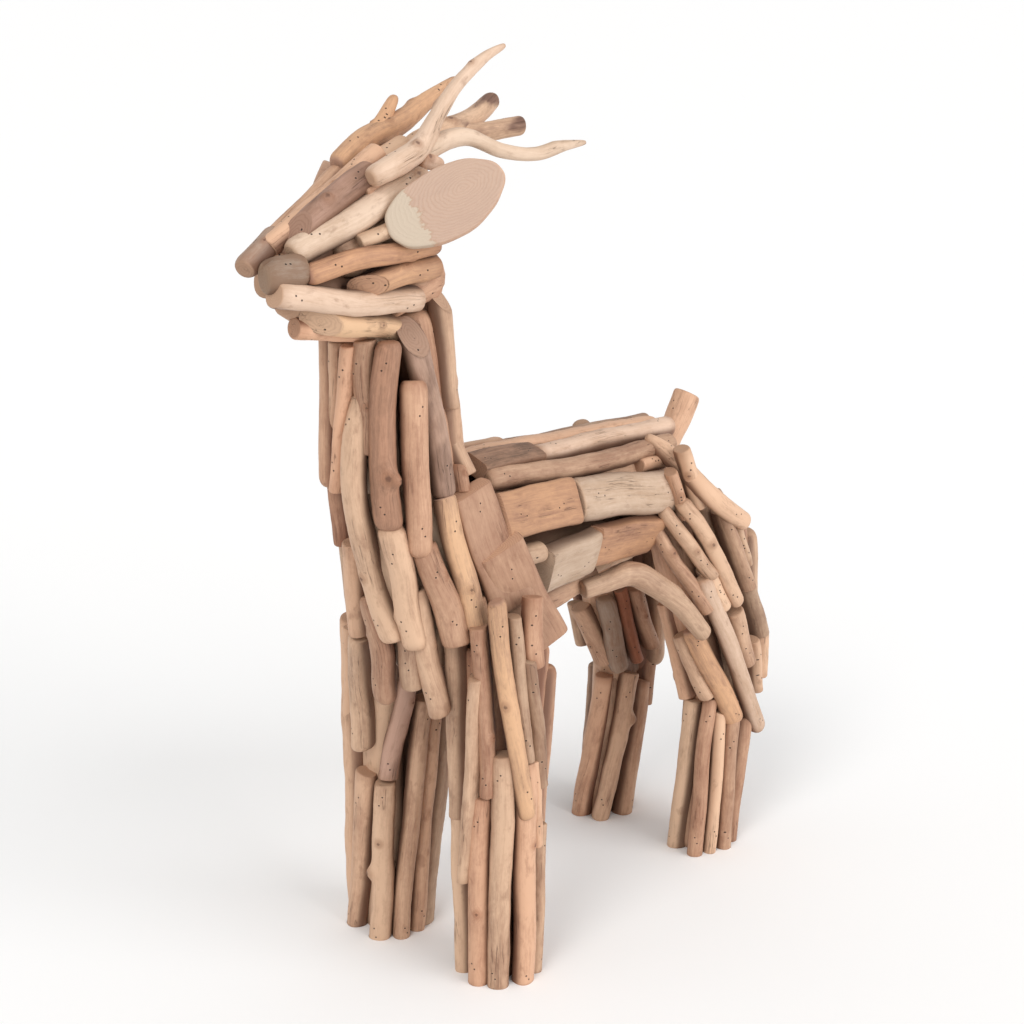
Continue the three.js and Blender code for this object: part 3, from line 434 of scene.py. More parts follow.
ON_TRUNK = (0, CHEST_Y, TRUNK_Z)
TAIL_ROOT = (0, RUMP_Y - 7, TRUNK_Z - 12)
BRANCHES = {
    "antler_left": [
        limb_of(POLL, [(20, -56, 22), (21, -40, 27), (22, -23, 34), (24, -13, 48), (26, 0, 63),
                       (30, 16, 75), (33, 27, 80)], [10, 12, 11, 7.5, 6.5, 6, 3]),
        limb_of(POLL, [(21, -24, 31), (26, 4, 37), (31, 27, 29), (35, 49, 26), (37, 63, 28),
                       (39, 84, 29)], [11, 9.5, 7.5, 7, 7, 2.5]),
        limb_of(POLL, [(22, -24, 28), (26, -12, 25)], [9, 6]),
    ],
    "antler_right": [
        limb_of(POLL, [(-10, -49, 25), (-14, -26, 34), (-18, 6, 42), (-22, 32, 52), (-25, 54, 60)],
                [11, 13, 12, 9, 4]),
        limb_of(POLL, [(-14, -22, 34), (-16, -13, 40), (-20, 4, 54)], [10, 8, 5]),
    ],
    "antler_middle": [
        limb_of(POLL, [(4, -18, 26), (1, 4, 33), (-1, 24, 37), (-6, 48, 42), (-11, 68, 49)],
                [13, 15, 14, 10.5, 9.5]),
        limb_of(POLL, [(0, 16, 35), (4, 44, 35), (8, 68, 37)], [12, 10.5, 10]),
    ],
    "tail_stub": [
        limb_of(TAIL_ROOT, [(0, 0, 0), (0, TAIL_LEAN, TAIL_RISE)], [TAIL_WIDTH - 3, TAIL_WIDTH]),
    ],
    "belly_branch": [
        limb_of(ON_TRUNK, [(31, 74, -40), (35, 91, -39), (40, 109, -38), (46, 123, -47),
                           (52, 140, -62), (54, 162, -86)], [11, 12, 15, 13, 12, 11]),
    ],
}

# Each ear's side, and how far it leans back and up; the right one hangs lower
EAR_LEANS = {"ear_left": (1, 0.676, 0.462), "ear_right": (-1, 0.78, 0.25)}
EAR_SPREAD = 0.573
EAR_FACE = (0.62, -0.727, 0.292)
EAR_ROOT = (27, -46, -4)
EAR_ROUNDING = 1.1


class StickSettings(bpy.types.PropertyGroup):
    """How the sticks are worn."""

    ring_step: bpy.props.FloatProperty(
        name="Ring step", description="Distance between the rings of a stick's mesh",
        default=0.0017, min=0.0005, max=0.01, precision=4, unit="LENGTH")
    sides: bpy.props.IntProperty(
        name="Sides", description="Faces round a stick that shows", default=32, min=8, max=64)
    relief: bpy.props.FloatProperty(
        name="Relief",
        description="How far the worn wood swells and sinks, as a share of its radius",
        default=0.042, min=0, max=0.2, subtype="FACTOR")
    wander: bpy.props.FloatProperty(
        name="Wander", description="How far a stick's middle line wanders from straight",
        default=0.0006, min=0, max=0.004, precision=4, unit="LENGTH")
    knot_height: bpy.props.FloatProperty(
        name="Knot height", description="How far a knot stands out of its stick",
        default=0.0011, min=0, max=0.004, precision=4, unit="LENGTH")


def color_setting(name, description, default):
    return bpy.props.FloatVectorProperty(
        name=name, description=description, default=default, size=3, min=0, max=1, subtype="COLOR")


class WoodSettings(bpy.types.PropertyGroup):
    """The colours of the weathered wood."""

    pale: color_setting("Pale wood", "The lightest sticks", (0.66, 0.475, 0.355))
    tan: color_setting("Tan wood", "Most of the sticks", (0.60, 0.385, 0.255))
    orange: color_setting("Orange wood", "Sawn boards and worn faces", (0.62, 0.36, 0.205))
    pink: color_setting("Pinkish wood", "The brown, slightly red sticks", (0.45, 0.265, 0.195))
    grey: color_setting("Grey wood", "The bleached sticks", (0.46, 0.34, 0.262))
    dark: color_setting("Dark wood", "The dark brown sticks", (0.30, 0.165, 0.105))
    bark: color_setting("Red bark", "The stick that keeps its bark", (0.33, 0.12, 0.06))


class StageSettings(bpy.types.PropertyGroup):
    """The camera, the lights and the floor."""

    azimuth: bpy.props.FloatProperty(
        name="Azimuth", description="Camera's turn round the deer from straight ahead",
        default=math.radians(40.5), subtype="ANGLE")
    elevation: bpy.props.FloatProperty(
        name="Elevation", description="Camera's height angle", default=math.radians(17),
        subtype="ANGLE")
    distance: bpy.props.FloatProperty(
        name="Distance", description="Camera to the middle of the deer", default=1.05,
        min=0.1, unit="LENGTH")
    lens: bpy.props.FloatProperty(
        name="Lens", description="Focal length of the camera, in millimetres", default=66, min=10)
    aim_height: bpy.props.FloatProperty(
        name="Aim height", description="Height that the camera looks at", default=0.2436,
        unit="LENGTH")
    key_power: bpy.props.FloatProperty(
        name="Key power", description="Strength of the large light at the left",
        default=0.95, min=0)
    fill_power: bpy.props.FloatProperty(
        name="Fill power", description="Strength of the light at the right",
        default=1.75, min=0)
    sky: bpy.props.FloatProperty(
        name="Sky", description="Strength of the even light from all round", default=0.66, min=0)
    floor_color: color_setting("Floor colour", "The plain pale floor", (0.95, 0.95, 0.95))


def station(skin, along):
    """Where a share along a skin falls: middle, forward direction, half width and half depth."""
    zero, stations = SKINS[skin]
    table = np.array(stations, float)
    first = int(np.clip(np.searchsorted(table[:, 0], along, side="right") - 1, 0, len(table) - 2))
    low, high = table[first], table[first + 1]
    share = (along - low[0]) / (high[0] - low[0])
    inside = min(max(share, 0), 1)
    middle = low[1:4] + (high[1:4] - low[1:4]) * share
    run = (high[1:4] - low[1:4]) / np.linalg.norm(high[1:4] - low[1:4])
    ahead = zero - run * zero.dot(run)
    half = low[4:6] + (high[4:6] - low[4:6]) * inside
    return middle, ahead / np.linalg.norm(ahead), half[0], half[1]


def place(skin, angle, along):
    """A place on a skin, with the direction that faces away from it."""
    middle, ahead, width, depth = station(skin, along)
    turn = math.radians(angle)
    point = middle + SIDE * width * math.sin(turn) + ahead * depth * math.cos(turn)
    out = SIDE * math.sin(turn) / width + ahead * math.cos(turn) / depth
    return point, out / np.linalg.norm(out)


def smooth_line(points, count):
    """Points spread evenly along a centripetal Catmull-Rom curve through the given ones."""
    given = np.array(points, float)
    whole = np.vstack([2 * given[0] - given[1], given, 2 * given[-1] - given[-2]])
    knots = np.concatenate([[0], np.cumsum(np.linalg.norm(np.diff(whole, axis=0), axis=1) ** 0.5)])
    dense = []
    for index in range(1, len(whole) - 2):
        k0, k1, k2, k3 = knots[index - 1:index + 3]
        p0, p1, p2, p3 = whole[index - 1:index + 3]
        for t in np.linspace(k1, k2, 24, endpoint=False):
            a1 = (p0 * (k1 - t) + p1 * (t - k0)) / (k1 - k0)
            a2 = (p1 * (k2 - t) + p2 * (t - k1)) / (k2 - k1)
            a3 = (p2 * (k3 - t) + p3 * (t - k2)) / (k3 - k2)
            b1 = (a1 * (k2 - t) + a2 * (t - k0)) / (k2 - k0)
            b2 = (a2 * (k3 - t) + a3 * (t - k1)) / (k3 - k1)
            dense.append((b1 * (k2 - t) + b2 * (t - k1)) / (k2 - k1))
    dense.append(given[-1])
    dense = np.array(dense)
    reach = np.concatenate([[0], np.cumsum(np.linalg.norm(np.diff(dense, axis=0), axis=1))])
    wanted = np.linspace(0, reach[-1], count)
    spread = [np.interp(wanted, reach, dense[:, axis]) for axis in range(3)]
    return np.column_stack(spread), reach[-1]


def end_form(form, width, first):
    """One end of a stick: radial share and length of its rounding, and its lean."""
    if form == "round" or form == "point" and not first:
        return 0.42, ROUND_END * width, 0
    if form == "slant" and first:
        return 0.06, 0.07 * width, SLANT_LENGTH * width
    if form == "point":
        return 0.35, POINT_LENGTH * width, 0
    if form == "board":
        return 0.09, 0.08 * width, BOARD_LEAN * width if first else 0
    return 0.17, 0.15 * width, 0


def end_rings(form, width, first):
    """Rings over one end: distance from the tip, radial share and whether it is end grain."""
    radial, length, _ = end_form(form, width, first)
    flat = 1 - radial
    rings = [(0.0, flat * share, 1.0) for share in (0.3, 0.62, 0.85)]
    for turn in np.linspace(0, math.pi / 2, 6):
        rings.append((length * (1 - math.cos(turn)), flat + radial * math.sin(turn),
                      max(0.0, 1 - turn / 1.1)))
    return rings


def worn_surface(rng, turns, along, relief):
    """Low swellings of driftwood, as a share of the radius: a sum of waves round and along it."""
    height = np.zeros(np.broadcast(turns, along).shape)
    for count in range(9):
        around_count = rng.integers(0, 4)
        wave = rng.uniform(14, 90) if count < 5 else rng.uniform(6, 14)
        size = relief * (0.5 if count < 5 else 0.13) * rng.uniform(0.5, 1)
        phase = rng.uniform(0, 2 * math.pi, 2)
        height += size * np.sin(2 * math.pi * along / wave + phase[0]) * np.cos(
            around_count * turns + phase[1])
    return height


# Sticks that are plainly darker (below 0) or paler (above 0) than their kind of wood
SHADES = {
    "nose_knob": -1.9, "nostril_stick_left": -0.4, "temple_stick_left": 0.1, "jaw_stick_left": 0.1,
    "tail_stub": 1.0, "withers_board": -0.8, "antler_left": 0.1, "flank_board_rear": -0.4,
    "flank_stick_round": -0.9, "flank_block": -0.5, "flank_board_front": -0.3,
    "shoulder_board": -0.3, "brow_stick_left": -0.5, "cheek_back_stick_left": -0.4,
}

# Sticks that are plainly redder (above 0) or greyer (below 0) than their kind of wood
WARMTHS = {
    "shoulder_board": 0.5, "flank_board_front": 0.3, "flank_board_rear": 0.4, "nose_knob": -0.9,
}


def listed_value(values, name):
    """The value that a list holds for a stick, or none."""
    found = [value for piece, value in values.items() if name.startswith(piece)]
    return found[0] if found else None


def with_tips(values):
    """Values of all rings in one row, between the means of the first and the last ring."""
    return np.concatenate([[values[0].mean()], values.ravel(), [values[-1].mean()]])


def ringed_part(spots, **painted):
    """Closed rings of points with a fan over each end, as arrays of corners, faces and values."""
    count, sides = spots.shape[:2]
    corners = np.vstack([spots[0].mean(0), spots.reshape(-1, 3), spots[-1].mean(0)])
    corners[:, 1] += MIDDLE_SHIFT
    corners[:, 2] = np.maximum(corners[:, 2], 0)
    index = 1 + np.arange(count * sides).reshape(count, sides)
    nxt = np.roll(index, -1, axis=1)
    fans = [
        np.column_stack([np.zeros(sides, int), index[0], nxt[0]]),
        np.column_stack([np.full(sides, len(corners) - 1), nxt[-1], index[-1]]),
    ]
    return {
        "corners": corners * MM, "triangles": np.vstack(fans),
        "quads": np.stack([index[:-1], index[1:], nxt[1:], nxt[:-1]], axis=-1).reshape(-1, 4),
        **{kind: np.column_stack([np.broadcast_to(value, len(corners)) for value in values])
           for kind, values in painted.items()},
    }


def directions(spine, outs):
    """Along a middle line: the directions forward, across and outward, square to one another."""
    forward = np.gradient(spine, axis=0)
    forward /= np.linalg.norm(forward, axis=1)[:, None]
    at = np.linspace(0, len(outs) - 1, len(spine))
    out = np.column_stack([
        np.interp(at, range(len(outs)), np.array(outs)[:, axis]) for axis in range(3)])
    out -= forward * (out * forward).sum(1)[:, None]
    out /= np.linalg.norm(out, axis=1)[:, None]
    return forward, np.cross(forward, out), out


def stick(name, points, outs, width, thickness, form, settings, widths=None, seen=True,
          features=(), inner=False):
    """One worn stick as arrays: corners, faces and the values that its wood is painted by."""
    rng = np.random.default_rng(zlib.crc32(name.encode()))
    step, sides = settings.ring_step / MM, settings.sides
    if inner:
        step, sides = step * INNER_STEP, INNER_SIDES
    elif not seen:
        step, sides = step * HIDDEN_STEP, int(sides * HIDDEN_SIDES)
    if form == "board":
        sides = int(sides * BOARD_SIDES)
    spine, length = smooth_line(points, 60)
    if form == "plain":
        form = rng.choice(["cut", "round", "cut"])
    board = form == "board"
    start = end_rings(form, width, True)
    finish = end_rings(form, width, False)
    middle_count = max(3, int((length - start[-1][0] - finish[-1][0]) / step))
    body = np.linspace(start[-1][0], length - finish[-1][0], middle_count + 1)[1:-1]
    rings = start + [(v, 1.0, 0.0) for v in body]
    rings += [(length - v, share, end) for v, share, end in reversed(finish)]
    v, share, end_grain = (np.array(column)[:, None] for column in zip(*rings))
    turns = np.linspace(0, 2 * math.pi, sides, endpoint=False)[None, :] + 0.01

    power = BOARD_SQUARENESS if board else ROUND_SQUARENESS * rng.uniform(0.95, 1.12)
    flat, high = np.cos(turns), np.sin(turns)
    fullness = 1 / (np.abs(flat) ** power + np.abs(high) ** power) ** (1 / power)
    relief = settings.relief * (0.45 if board else 1)
    swell = share * (1 + worn_surface(rng, turns, v, relief))
    if form == "point":
        tip = np.clip(v / (POINT_LENGTH * width), 0, 1)
        swell = swell * (0.45 + 0.55 * np.sqrt(tip))
    if widths is None:
        taper = 1 + 0.05 * rng.uniform(-1, 1) * (v / length - 0.5) * 2
        half_wide, half_thick = width / 2 * taper, thickness / 2 * taper
    else:
        places = np.linspace(0, length, len(widths))
        half_wide = half_thick = np.interp(v[:, 0], places, widths)[:, None] / 2

    knot = np.zeros((len(rings), sides))
    bump = np.zeros((len(rings), sides))
    found = list(features)
    if not inner and not board and not found and rng.uniform() < KNOT_CHANCE:
        found.append(("knot", rng.uniform(0.2, 0.8), rng.uniform(-80, 80), rng.uniform(1.8, 3)))
    for kind, at, angle, radius in found:
        away = (turns - math.radians(90 - angle) + math.pi) % (2 * math.pi) - math.pi
        near = np.exp(-((away * half_wide) ** 2 + ((v - at * length) * 0.8) ** 2) / radius ** 2)
        bump += FEATURE_HEIGHTS[kind] * settings.knot_height / MM * near
        knot = np.maximum(knot, near)

    # The ends are tilted, and a slanted one is cut off along a plane
    x = fullness * flat * half_wide * swell + bump * flat
    y = fullness * high * half_thick * swell + bump * high
    steepest = 0.05 if board else 0.16
    tilt = rng.uniform(-steepest, steepest, (2, 2))
    run = v + (x * tilt[0, 0] + y * tilt[0, 1]) * np.exp(-v / (0.7 * width))
    run = run + (x * tilt[1, 0] + y * tilt[1, 1]) * np.exp(-(length - v) / (0.7 * width))
    facet = np.zeros_like(x)
    lean = end_form(form, width, True)[2]
    if lean:
        gap = lean * (1 + y / (thickness / 2)) / 2 - run
        facet = 1 / (1 + np.exp(-np.clip(gap / FACET_BLUR, -30, 30)))
        facet[:3] = 1
        edge = FACET_SOFTNESS * np.exp(-np.abs(gap) / FACET_SOFTNESS) * 0.5
        run = run + np.where(gap > 0, gap, 0) + edge

    # The middle line wanders a little, and the directions follow the curve
    wander = settings.wander / MM * (1 if widths is None else 0.7)
    phases = rng.uniform(0, 2 * math.pi, 4)
    stops = np.linspace(0, length, len(spine))
    forward, across, out = directions(spine, outs)
    waves = np.sin(2 * math.pi * stops / max(length * 1.1, 60) + phases[0])
    ripples = np.sin(2 * math.pi * stops / max(length * 0.55, 35) + phases[1])
    spine = spine + across * (wander * (waves + 0.4 * ripples))[:, None]
    spine = spine + out * (0.5 * wander * np.sin(2 * math.pi * stops / 80 + phases[2]))[:, None]

    inside = np.clip(run, 0, length)

    def along_spine(values):
        return np.stack([np.interp(inside, stops, values[:, axis]) for axis in range(3)], axis=-1)

    spots = along_spine(spine) + along_spine(forward) * (run - inside)[..., None]
    spots = spots + along_spine(across) * x[..., None] + along_spine(out) * y[..., None]

    seed = rng.uniform()
    shade, warmth = listed_value(SHADES, name), listed_value(WARMTHS, name)
    pale = np.clip(rng.normal(0, 0.65), -1.3, 1.3)
    warm = np.clip(rng.normal(0, 0.5), -1, 1)
    pale = pale if shade is None else shade + 0.3 * pale
    warm = warm if warmth is None else warmth
    return ringed_part(
        spots,
        grain=(with_tips(x), with_tips(y), with_tips(run)),
        marks=(with_tips(knot), with_tips(end_grain * np.ones_like(x)), with_tips(facet)),
        spans=(with_tips(run), length - with_tips(run), width if widths is None else -1),
        tint=(seed, pale, warm))


def row_stick(row, index, settings):
    """A row of a cutting list as a stick."""
    piece, width, thickness, lift, form, *places = row
    found = [place(*spot) for spot in places]
    points = [point + out * (lift - thickness / 2) for point, out in found]
    axis = Vector(points[-1] - points[0])
    turned = Matrix.Rotation(math.radians(TURNS.get(piece, 0)), 3, axis)
    outs = [np.array(turned @ Vector(out)) for _, out in found]
    seen = "_sticks" not in piece or (places[0][1] > -30 and index < SEEN_ROWS)
    return stick(
        f"{piece}_{index}", points, outs, width, thickness, form, settings,
        seen=seen, features=FEATURES.get(piece, ()), inner=lift <= INNER_LIFT)


def branch_stick(piece, index, settings):
    """One limb of a branch as a stick with a width of its own at each point."""
    points, widths = BRANCHES[piece][index]
    points = np.array(points, float)
    forward = np.gradient(points, axis=0)
    across = np.cross(forward, UP)
    outs = np.cross(across, forward)
    outs /= np.linalg.norm(outs, axis=1)[:, None]
    form = "cut" if min(widths) > 8 else "round"
    features = FEATURES.get(piece, ()) if index == 0 else ()
    return stick(f"{piece}_{index}", points, outs, max(widths), max(widths), form, settings,
                 widths=widths, features=features)


def ear_slice(piece):
    """A slice across a branch, cut on the slant: a long oval with a bark edge."""
    side, back, up = EAR_LEANS[piece]
    rng = np.random.default_rng(zlib.crc32(piece.encode()))
    reach = np.array([EAR_SPREAD * side, back, up])
    reach /= np.linalg.norm(reach)
    face = np.array([EAR_FACE[0] * side, *EAR_FACE[1:]])
    face -= reach * face.dot(reach)
    face /= np.linalg.norm(face)
    across = np.cross(face, reach)
    turns = np.linspace(0, 2 * math.pi, 120, endpoint=False)
    outline = 1 + 0.018 * np.sin(3 * turns + 0.6) + 0.012 * np.sin(5 * turns + 2) + 0.006 * np.sin(
        11 * turns + rng.uniform(0, 6))
    rounding = [
        (0.945 + 0.055 * math.sin(turn), EAR_ROUNDING * (1 - math.cos(turn)), 1 - turn / 1.6)
        for turn in np.linspace(0, math.pi / 2, 5)]
    low, high = EAR_ROUNDING, EAR_THICKNESS - EAR_ROUNDING
    rings = [(share, EAR_THICKNESS, 1.0) for share in np.linspace(0.04, 0.93, 20)]
    rings += [(share, EAR_THICKNESS - sunk, end) for share, sunk, end in rounding]
    rings += [(1.0, depth, 0.0) for depth in np.linspace(high, low, 6)[1:-1]]
    rings += reversed(rounding)
    rings += [(share, 0.0, 1.0) for share in np.linspace(0.93, 0.04, 14)]
    share, depth, end = (np.array(column)[:, None] for column in zip(*rings))
    x = share * outline * np.cos(turns) * EAR_LENGTH / 2
    y = share * outline * np.sin(turns) * EAR_WIDTH / 2
    depth = depth + 0.25 * np.sin(x / 9 + 1) * np.cos(y / 7) * (share < 1)
    root = np.add(POLL, (EAR_ROOT[0] * side, *EAR_ROOT[1:])) + reach * (EAR_LENGTH / 2 - 4)
    spots = root + x[..., None] * reach + y[..., None] * across + depth[..., None] * face
    return ringed_part(
        spots,
        grain=(with_tips(x * EAR_WIDTH / EAR_LENGTH), with_tips(y), with_tips(depth)),
        marks=(0, with_tips(end * np.ones_like(x)), 0),
        spans=(with_tips(x) + EAR_LENGTH / 2, EAR_LENGTH / 2 - with_tips(x), EAR_WIDTH),
        tint=(rng.uniform(), 0.2, 0.1))


def piece_from(node, parts, material):
    """One object for a node, made of its sticks, which stands for the node's solid."""
    counts = np.cumsum([0] + [len(part["corners"]) for part in parts])
    quads = np.vstack([part["quads"] + start for part, start in zip(parts, counts)])
    triangles = np.vstack([part["triangles"] + start for part, start in zip(parts, counts)])
    mesh = bpy.data.meshes.new(f"{node}_wood")
    corners = np.vstack([part["corners"] for part in parts])
    mesh.vertices.add(len(corners))
    mesh.vertices.foreach_set("co", corners.ravel())
    mesh.loops.add(quads.size + triangles.size)
    turned = np.concatenate([quads.ravel(), triangles.ravel()])
    mesh.loops.foreach_set("vertex_index", turned.astype(np.int32))
    starts = np.concatenate([
        np.arange(len(quads)) * 4, quads.size + np.arange(len(triangles)) * 3]).astype(np.int32)
    mesh.polygons.add(len(starts))
    mesh.polygons.foreach_set("loop_start", starts)
    mesh.polygons.foreach_set("use_smooth", np.ones(len(starts), bool))
    for kind in ("grain", "marks", "spans", "tint"):
        values = np.vstack([part[kind] for part in parts]).astype(np.float32)
        layer = mesh.attributes.new(kind, "FLOAT_VECTOR", "POINT")
        layer.data.foreach_set("vector", values.ravel())
    mesh.update(calc_edges=True)
    mesh.validate()
    mesh.materials.append(material)
    piece = bpy.data.objects.new(f"{node}_wood", mesh)
    bpy.context.scene.collection.objects.link(piece)
    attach(piece, "root")
    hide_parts(node)
    return piece


class Term:
    """A value on its way through a graph; sums and products of it add math nodes."""

    def __init__(self, graph, socket):
        self.graph, self.socket = graph, socket

    def __add__(self, other):
        return self.graph.math("ADD", self, other)

    def __sub__(self, other):
        return self.graph.math("SUBTRACT", self, other)

    def __mul__(self, other):
        return self.graph.math("MULTIPLY", self, other)

    def __truediv__(self, other):
        return self.graph.math("DIVIDE", self, other)


class Graph:
    """Places and links the nodes of one material or node group."""

    def __init__(self, tree):
        self.tree = tree

    def add(self, kind, inputs=None, **settings):
        node = self.tree.nodes.new(kind)
        for key, value in settings.items():
            setattr(node, key, value)
        for key, value in (inputs or {}).items():
            if isinstance(value, Term):
                self.tree.links.new(value.socket, node.inputs[key])
            else:
                node.inputs[key].default_value = value
        return node

    def term(self, kind, output, inputs=None, **settings):
        """One output of a new node."""
        return Term(self, self.add(kind, inputs, **settings).outputs[output])

    def math(self, operation, first, second=0.0, third=0.0, clamp=False):
        return self.term("ShaderNodeMath", 0, {0: first, 1: second, 2: third},
                         operation=operation, use_clamp=clamp)

    def scaled(self, value, factor, shift):
        return self.math("MULTIPLY_ADD", value, factor, shift)

    def vector(self, operation, first, second=(0, 0, 0)):
        output = "Value" if operation == "LENGTH" else "Vector"
        return self.term("ShaderNodeVectorMath", output, {0: first, 1: second}, operation=operation)

    def combine(self, *values):
        return self.term("ShaderNodeCombineXYZ", 0, dict(enumerate(values)))

    def axes(self, vector):
        parts = self.add("ShaderNodeSeparateXYZ", {0: vector})
        return [Term(self, socket) for socket in parts.outputs]

    def attribute(self, name):
        return self.term("ShaderNodeAttribute", "Vector", attribute_name=name)

    def noise(self, vector, scale, detail, rough=0.55):
        return self.term("ShaderNodeTexNoise", "Fac", {
            "Vector": vector, "Scale": scale, "Detail": detail, "Roughness": rough})

    def between(self, value, low, high, to_low=0.0, to_high=1.0):
        return self.term("ShaderNodeMapRange", "Result", {
            "Value": value, "From Min": low, "From Max": high, "To Min": to_low,
            "To Max": to_high}, interpolation_type="SMOOTHSTEP")

    def blend(self, factor, first, second):
        return self.term("ShaderNodeMix", 2, {0: factor, 6: first, 7: second},
                         data_type="RGBA", blend_type="MIX")


# Colours that wear and growth lay over the wood
STAIN = (0.25, 0.125, 0.075, 1)
BARK_PATCH = (0.13, 0.06, 0.045, 1)
SAPWOOD = (0.54, 0.45, 0.35, 1)
SAP_EDGE = (0.36, 0.19, 0.11, 1)
# Painted shade, laid in the joints and low on the sides of the sticks
PAINTED_SHADE = (0.16, 0.08, 0.05, 1)
WORN_RIM = (0.30, 0.15, 0.085, 1)
KNOT_HALO = (0.28, 0.13, 0.07, 1)
KNOT_CORE = (0.10, 0.045, 0.03, 1)
CRACK = (0.10, 0.05, 0.03, 1)
PIN_HOLE = (0.035, 0.02, 0.015, 1)
GROUP_SOCKETS = {
    ("INPUT", "Color"): ("Light wood", "Dark wood", "End wood"),
    ("INPUT", "Float"): (
        "Grain contrast", "Ring spacing", "Bark patches", "Pins", "Ring contrast", "Sap reach"),
    ("INPUT", "Vector"): ("Pith",),
    ("OUTPUT", "Color"): ("Color",),
    ("OUTPUT", "Float"): ("Roughness", "Height"),
}


def driftwood_group():
    """Worn driftwood: grain along the stick, rings on its ends, knots, cracks and pin holes."""
    found = bpy.data.node_groups.get("Driftwood")
    if found:
        return found
    tree = bpy.data.node_groups.new("Driftwood", "ShaderNodeTree")
    for (side, kind), names in GROUP_SOCKETS.items():
        for name in names:
            tree.interface.new_socket(name, in_out=side, socket_type=f"NodeSocket{kind}")
    g = Graph(tree)
    given = {socket.name: Term(g, socket) for socket in g.add("NodeGroupInput").outputs}
    light, dark, pins = given["Light wood"], given["Dark wood"], given["Pins"]
    grain = g.attribute("grain")
    across, outward, _ = g.axes(grain)
    knot, end, facet = g.axes(g.attribute("marks"))
    from_start, from_end, width = g.axes(g.attribute("spans"))
    seed, pale, warm = g.axes(g.attribute("tint"))

    def stretched(vector, share):
        return g.vector("MULTIPLY", vector, (1, 1, share))

    def drawn(factor, size, low=0.0):
        """A value of this stick's own, from low up to low and size."""
        return g.scaled(g.math("FRACT", seed * factor), size, low)

    # Grain bends round knots, and wanders a little along the stick
    own = g.vector("ADD", grain, g.combine(seed * 731.0, seed * 417.0, seed * 953.0))
    bend = (g.noise(stretched(own, 0.35), 0.09, 2) - 0.5) * 5.0 + knot * 3.0
    shifted = g.vector("ADD", own, g.combine(bend, bend))
    fibres = g.noise(stretched(shifted, 0.05), 0.55, 5, 0.62)
    fine = g.noise(stretched(shifted, 0.035), 2.2, 3, 0.6)
    patches = g.noise(stretched(own, 0.4), 0.07, 3, 0.5)
    mottle = g.noise(stretched(own, 0.6), 0.42, 4, 0.7)
    stains = g.noise(stretched(own, 0.5), 0.16, 4, 0.6)

    # Growth rings round the pith
    pith_across, pith_outward, _ = g.axes(g.vector("SUBTRACT", grain, given["Pith"]))
    reach = g.vector("LENGTH", g.combine(pith_across, pith_outward)) + g.noise(own, 0.22, 2) * 2.6
    ring_wave = g.math("SINE", reach / given["Ring spacing"] * (2 * math.pi))
    rings = g.math("POWER", g.scaled(ring_wave, 0.5, 0.5), 2.2)

    contrast = given["Grain contrast"]
    dark_share = (fibres - 0.5) * (contrast * 1.35) + (patches - 0.5) * 1.9
    dark_share = dark_share + (mottle - 0.5) * 0.8 + (fine - 0.5) * (contrast * 0.7)
    dark_share = g.math("ADD", dark_share, g.scaled(pale, -0.34, 0.32), clamp=True)
    color = g.blend(dark_share, light, dark)
    color = g.blend(g.between(stains, 0.56, 0.72) * 0.42, color, STAIN)
    color = g.blend(g.between(patches, 0.50, 0.62) * given["Bark patches"], color, BARK_PATCH)

    # End grain and the faces of oblique cuts
    ringed = g.blend(rings * given["Ring contrast"], given["End wood"], dark)
    color = g.blend(g.between(end, 0.1, 0.8) * 0.85, color, ringed)
    color = g.blend(facet * 0.7, color, g.blend(g.scaled(rings, 0.3, 0.38), light, dark))
    # Sapwood: the paler part of a slice, with a ragged brown edge
    sap_line = across + given["Sap reach"] + g.scaled(g.noise(own, 0.35, 4, 0.7), 7.0, -3.5)
    color = g.blend(g.between(sap_line, -0.4, 0.4, 0.9, 0.0), color, SAPWOOD)
    sap_edge = g.between(g.math("ABSOLUTE", sap_line), 0.0, 0.7, 0.35, 0.0)
    color = g.blend(sap_edge, color, SAP_EDGE)
    # Painted shade: the joints and the low sides of the sticks, where shade falls between them, are
    # given a darker brown; branches, whose width is given as -1, have none
    depth = outward / (width * 0.5)
    painted_shade = g.between(depth, -0.15, 0.62, 0.88, 0.0) * g.between(end, 0.3, 0.6, 1.0, 0.0)
    painted_shade = painted_shade * g.math("GREATER_THAN", width, 0.0) * g.between(pins, 0.0, 0.5)
    color = g.blend(painted_shade, color, PAINTED_SHADE)
    # The worn rims near the ends are browner
    tip_reach = g.math("MINIMUM", from_start, from_end)
    rim_share = g.math("FRACT", seed * 3.3) * 0.45
    color = g.blend(g.between(tip_reach, 0.0, 7.0, 1.0, 0.0) * rim_share, color, WORN_RIM)
    # Knots: a dark core in a browner halo
    color = g.blend(g.between(knot, 0.15, 0.8) * 0.5, color, KNOT_HALO)
    color = g.blend(g.between(knot, 0.82, 0.95) * 0.7, color, KNOT_CORE)
    # Cracks along the grain
    crack_line = g.math("ABSOLUTE", g.noise(stretched(own, 0.03), 0.4, 2) - 0.5)
    crack = g.between(crack_line, 0.0, 0.012, 1.0, 0.0) * g.between(patches, 0.54, 0.6) * pins
    color = g.blend(crack * 0.6, color, CRACK)

    # Pin holes in a pair near each end, on the outer face
    first_across, first_along = drawn(13.7, 4.0, -2.0), drawn(7.3, 8.0, 7.0)

    def pin(shift_across, shift_along):
        aside = across - (first_across + shift_across)
        along = tip_reach - (first_along + shift_along)
        return g.math("SQRT", aside * aside + along * along)

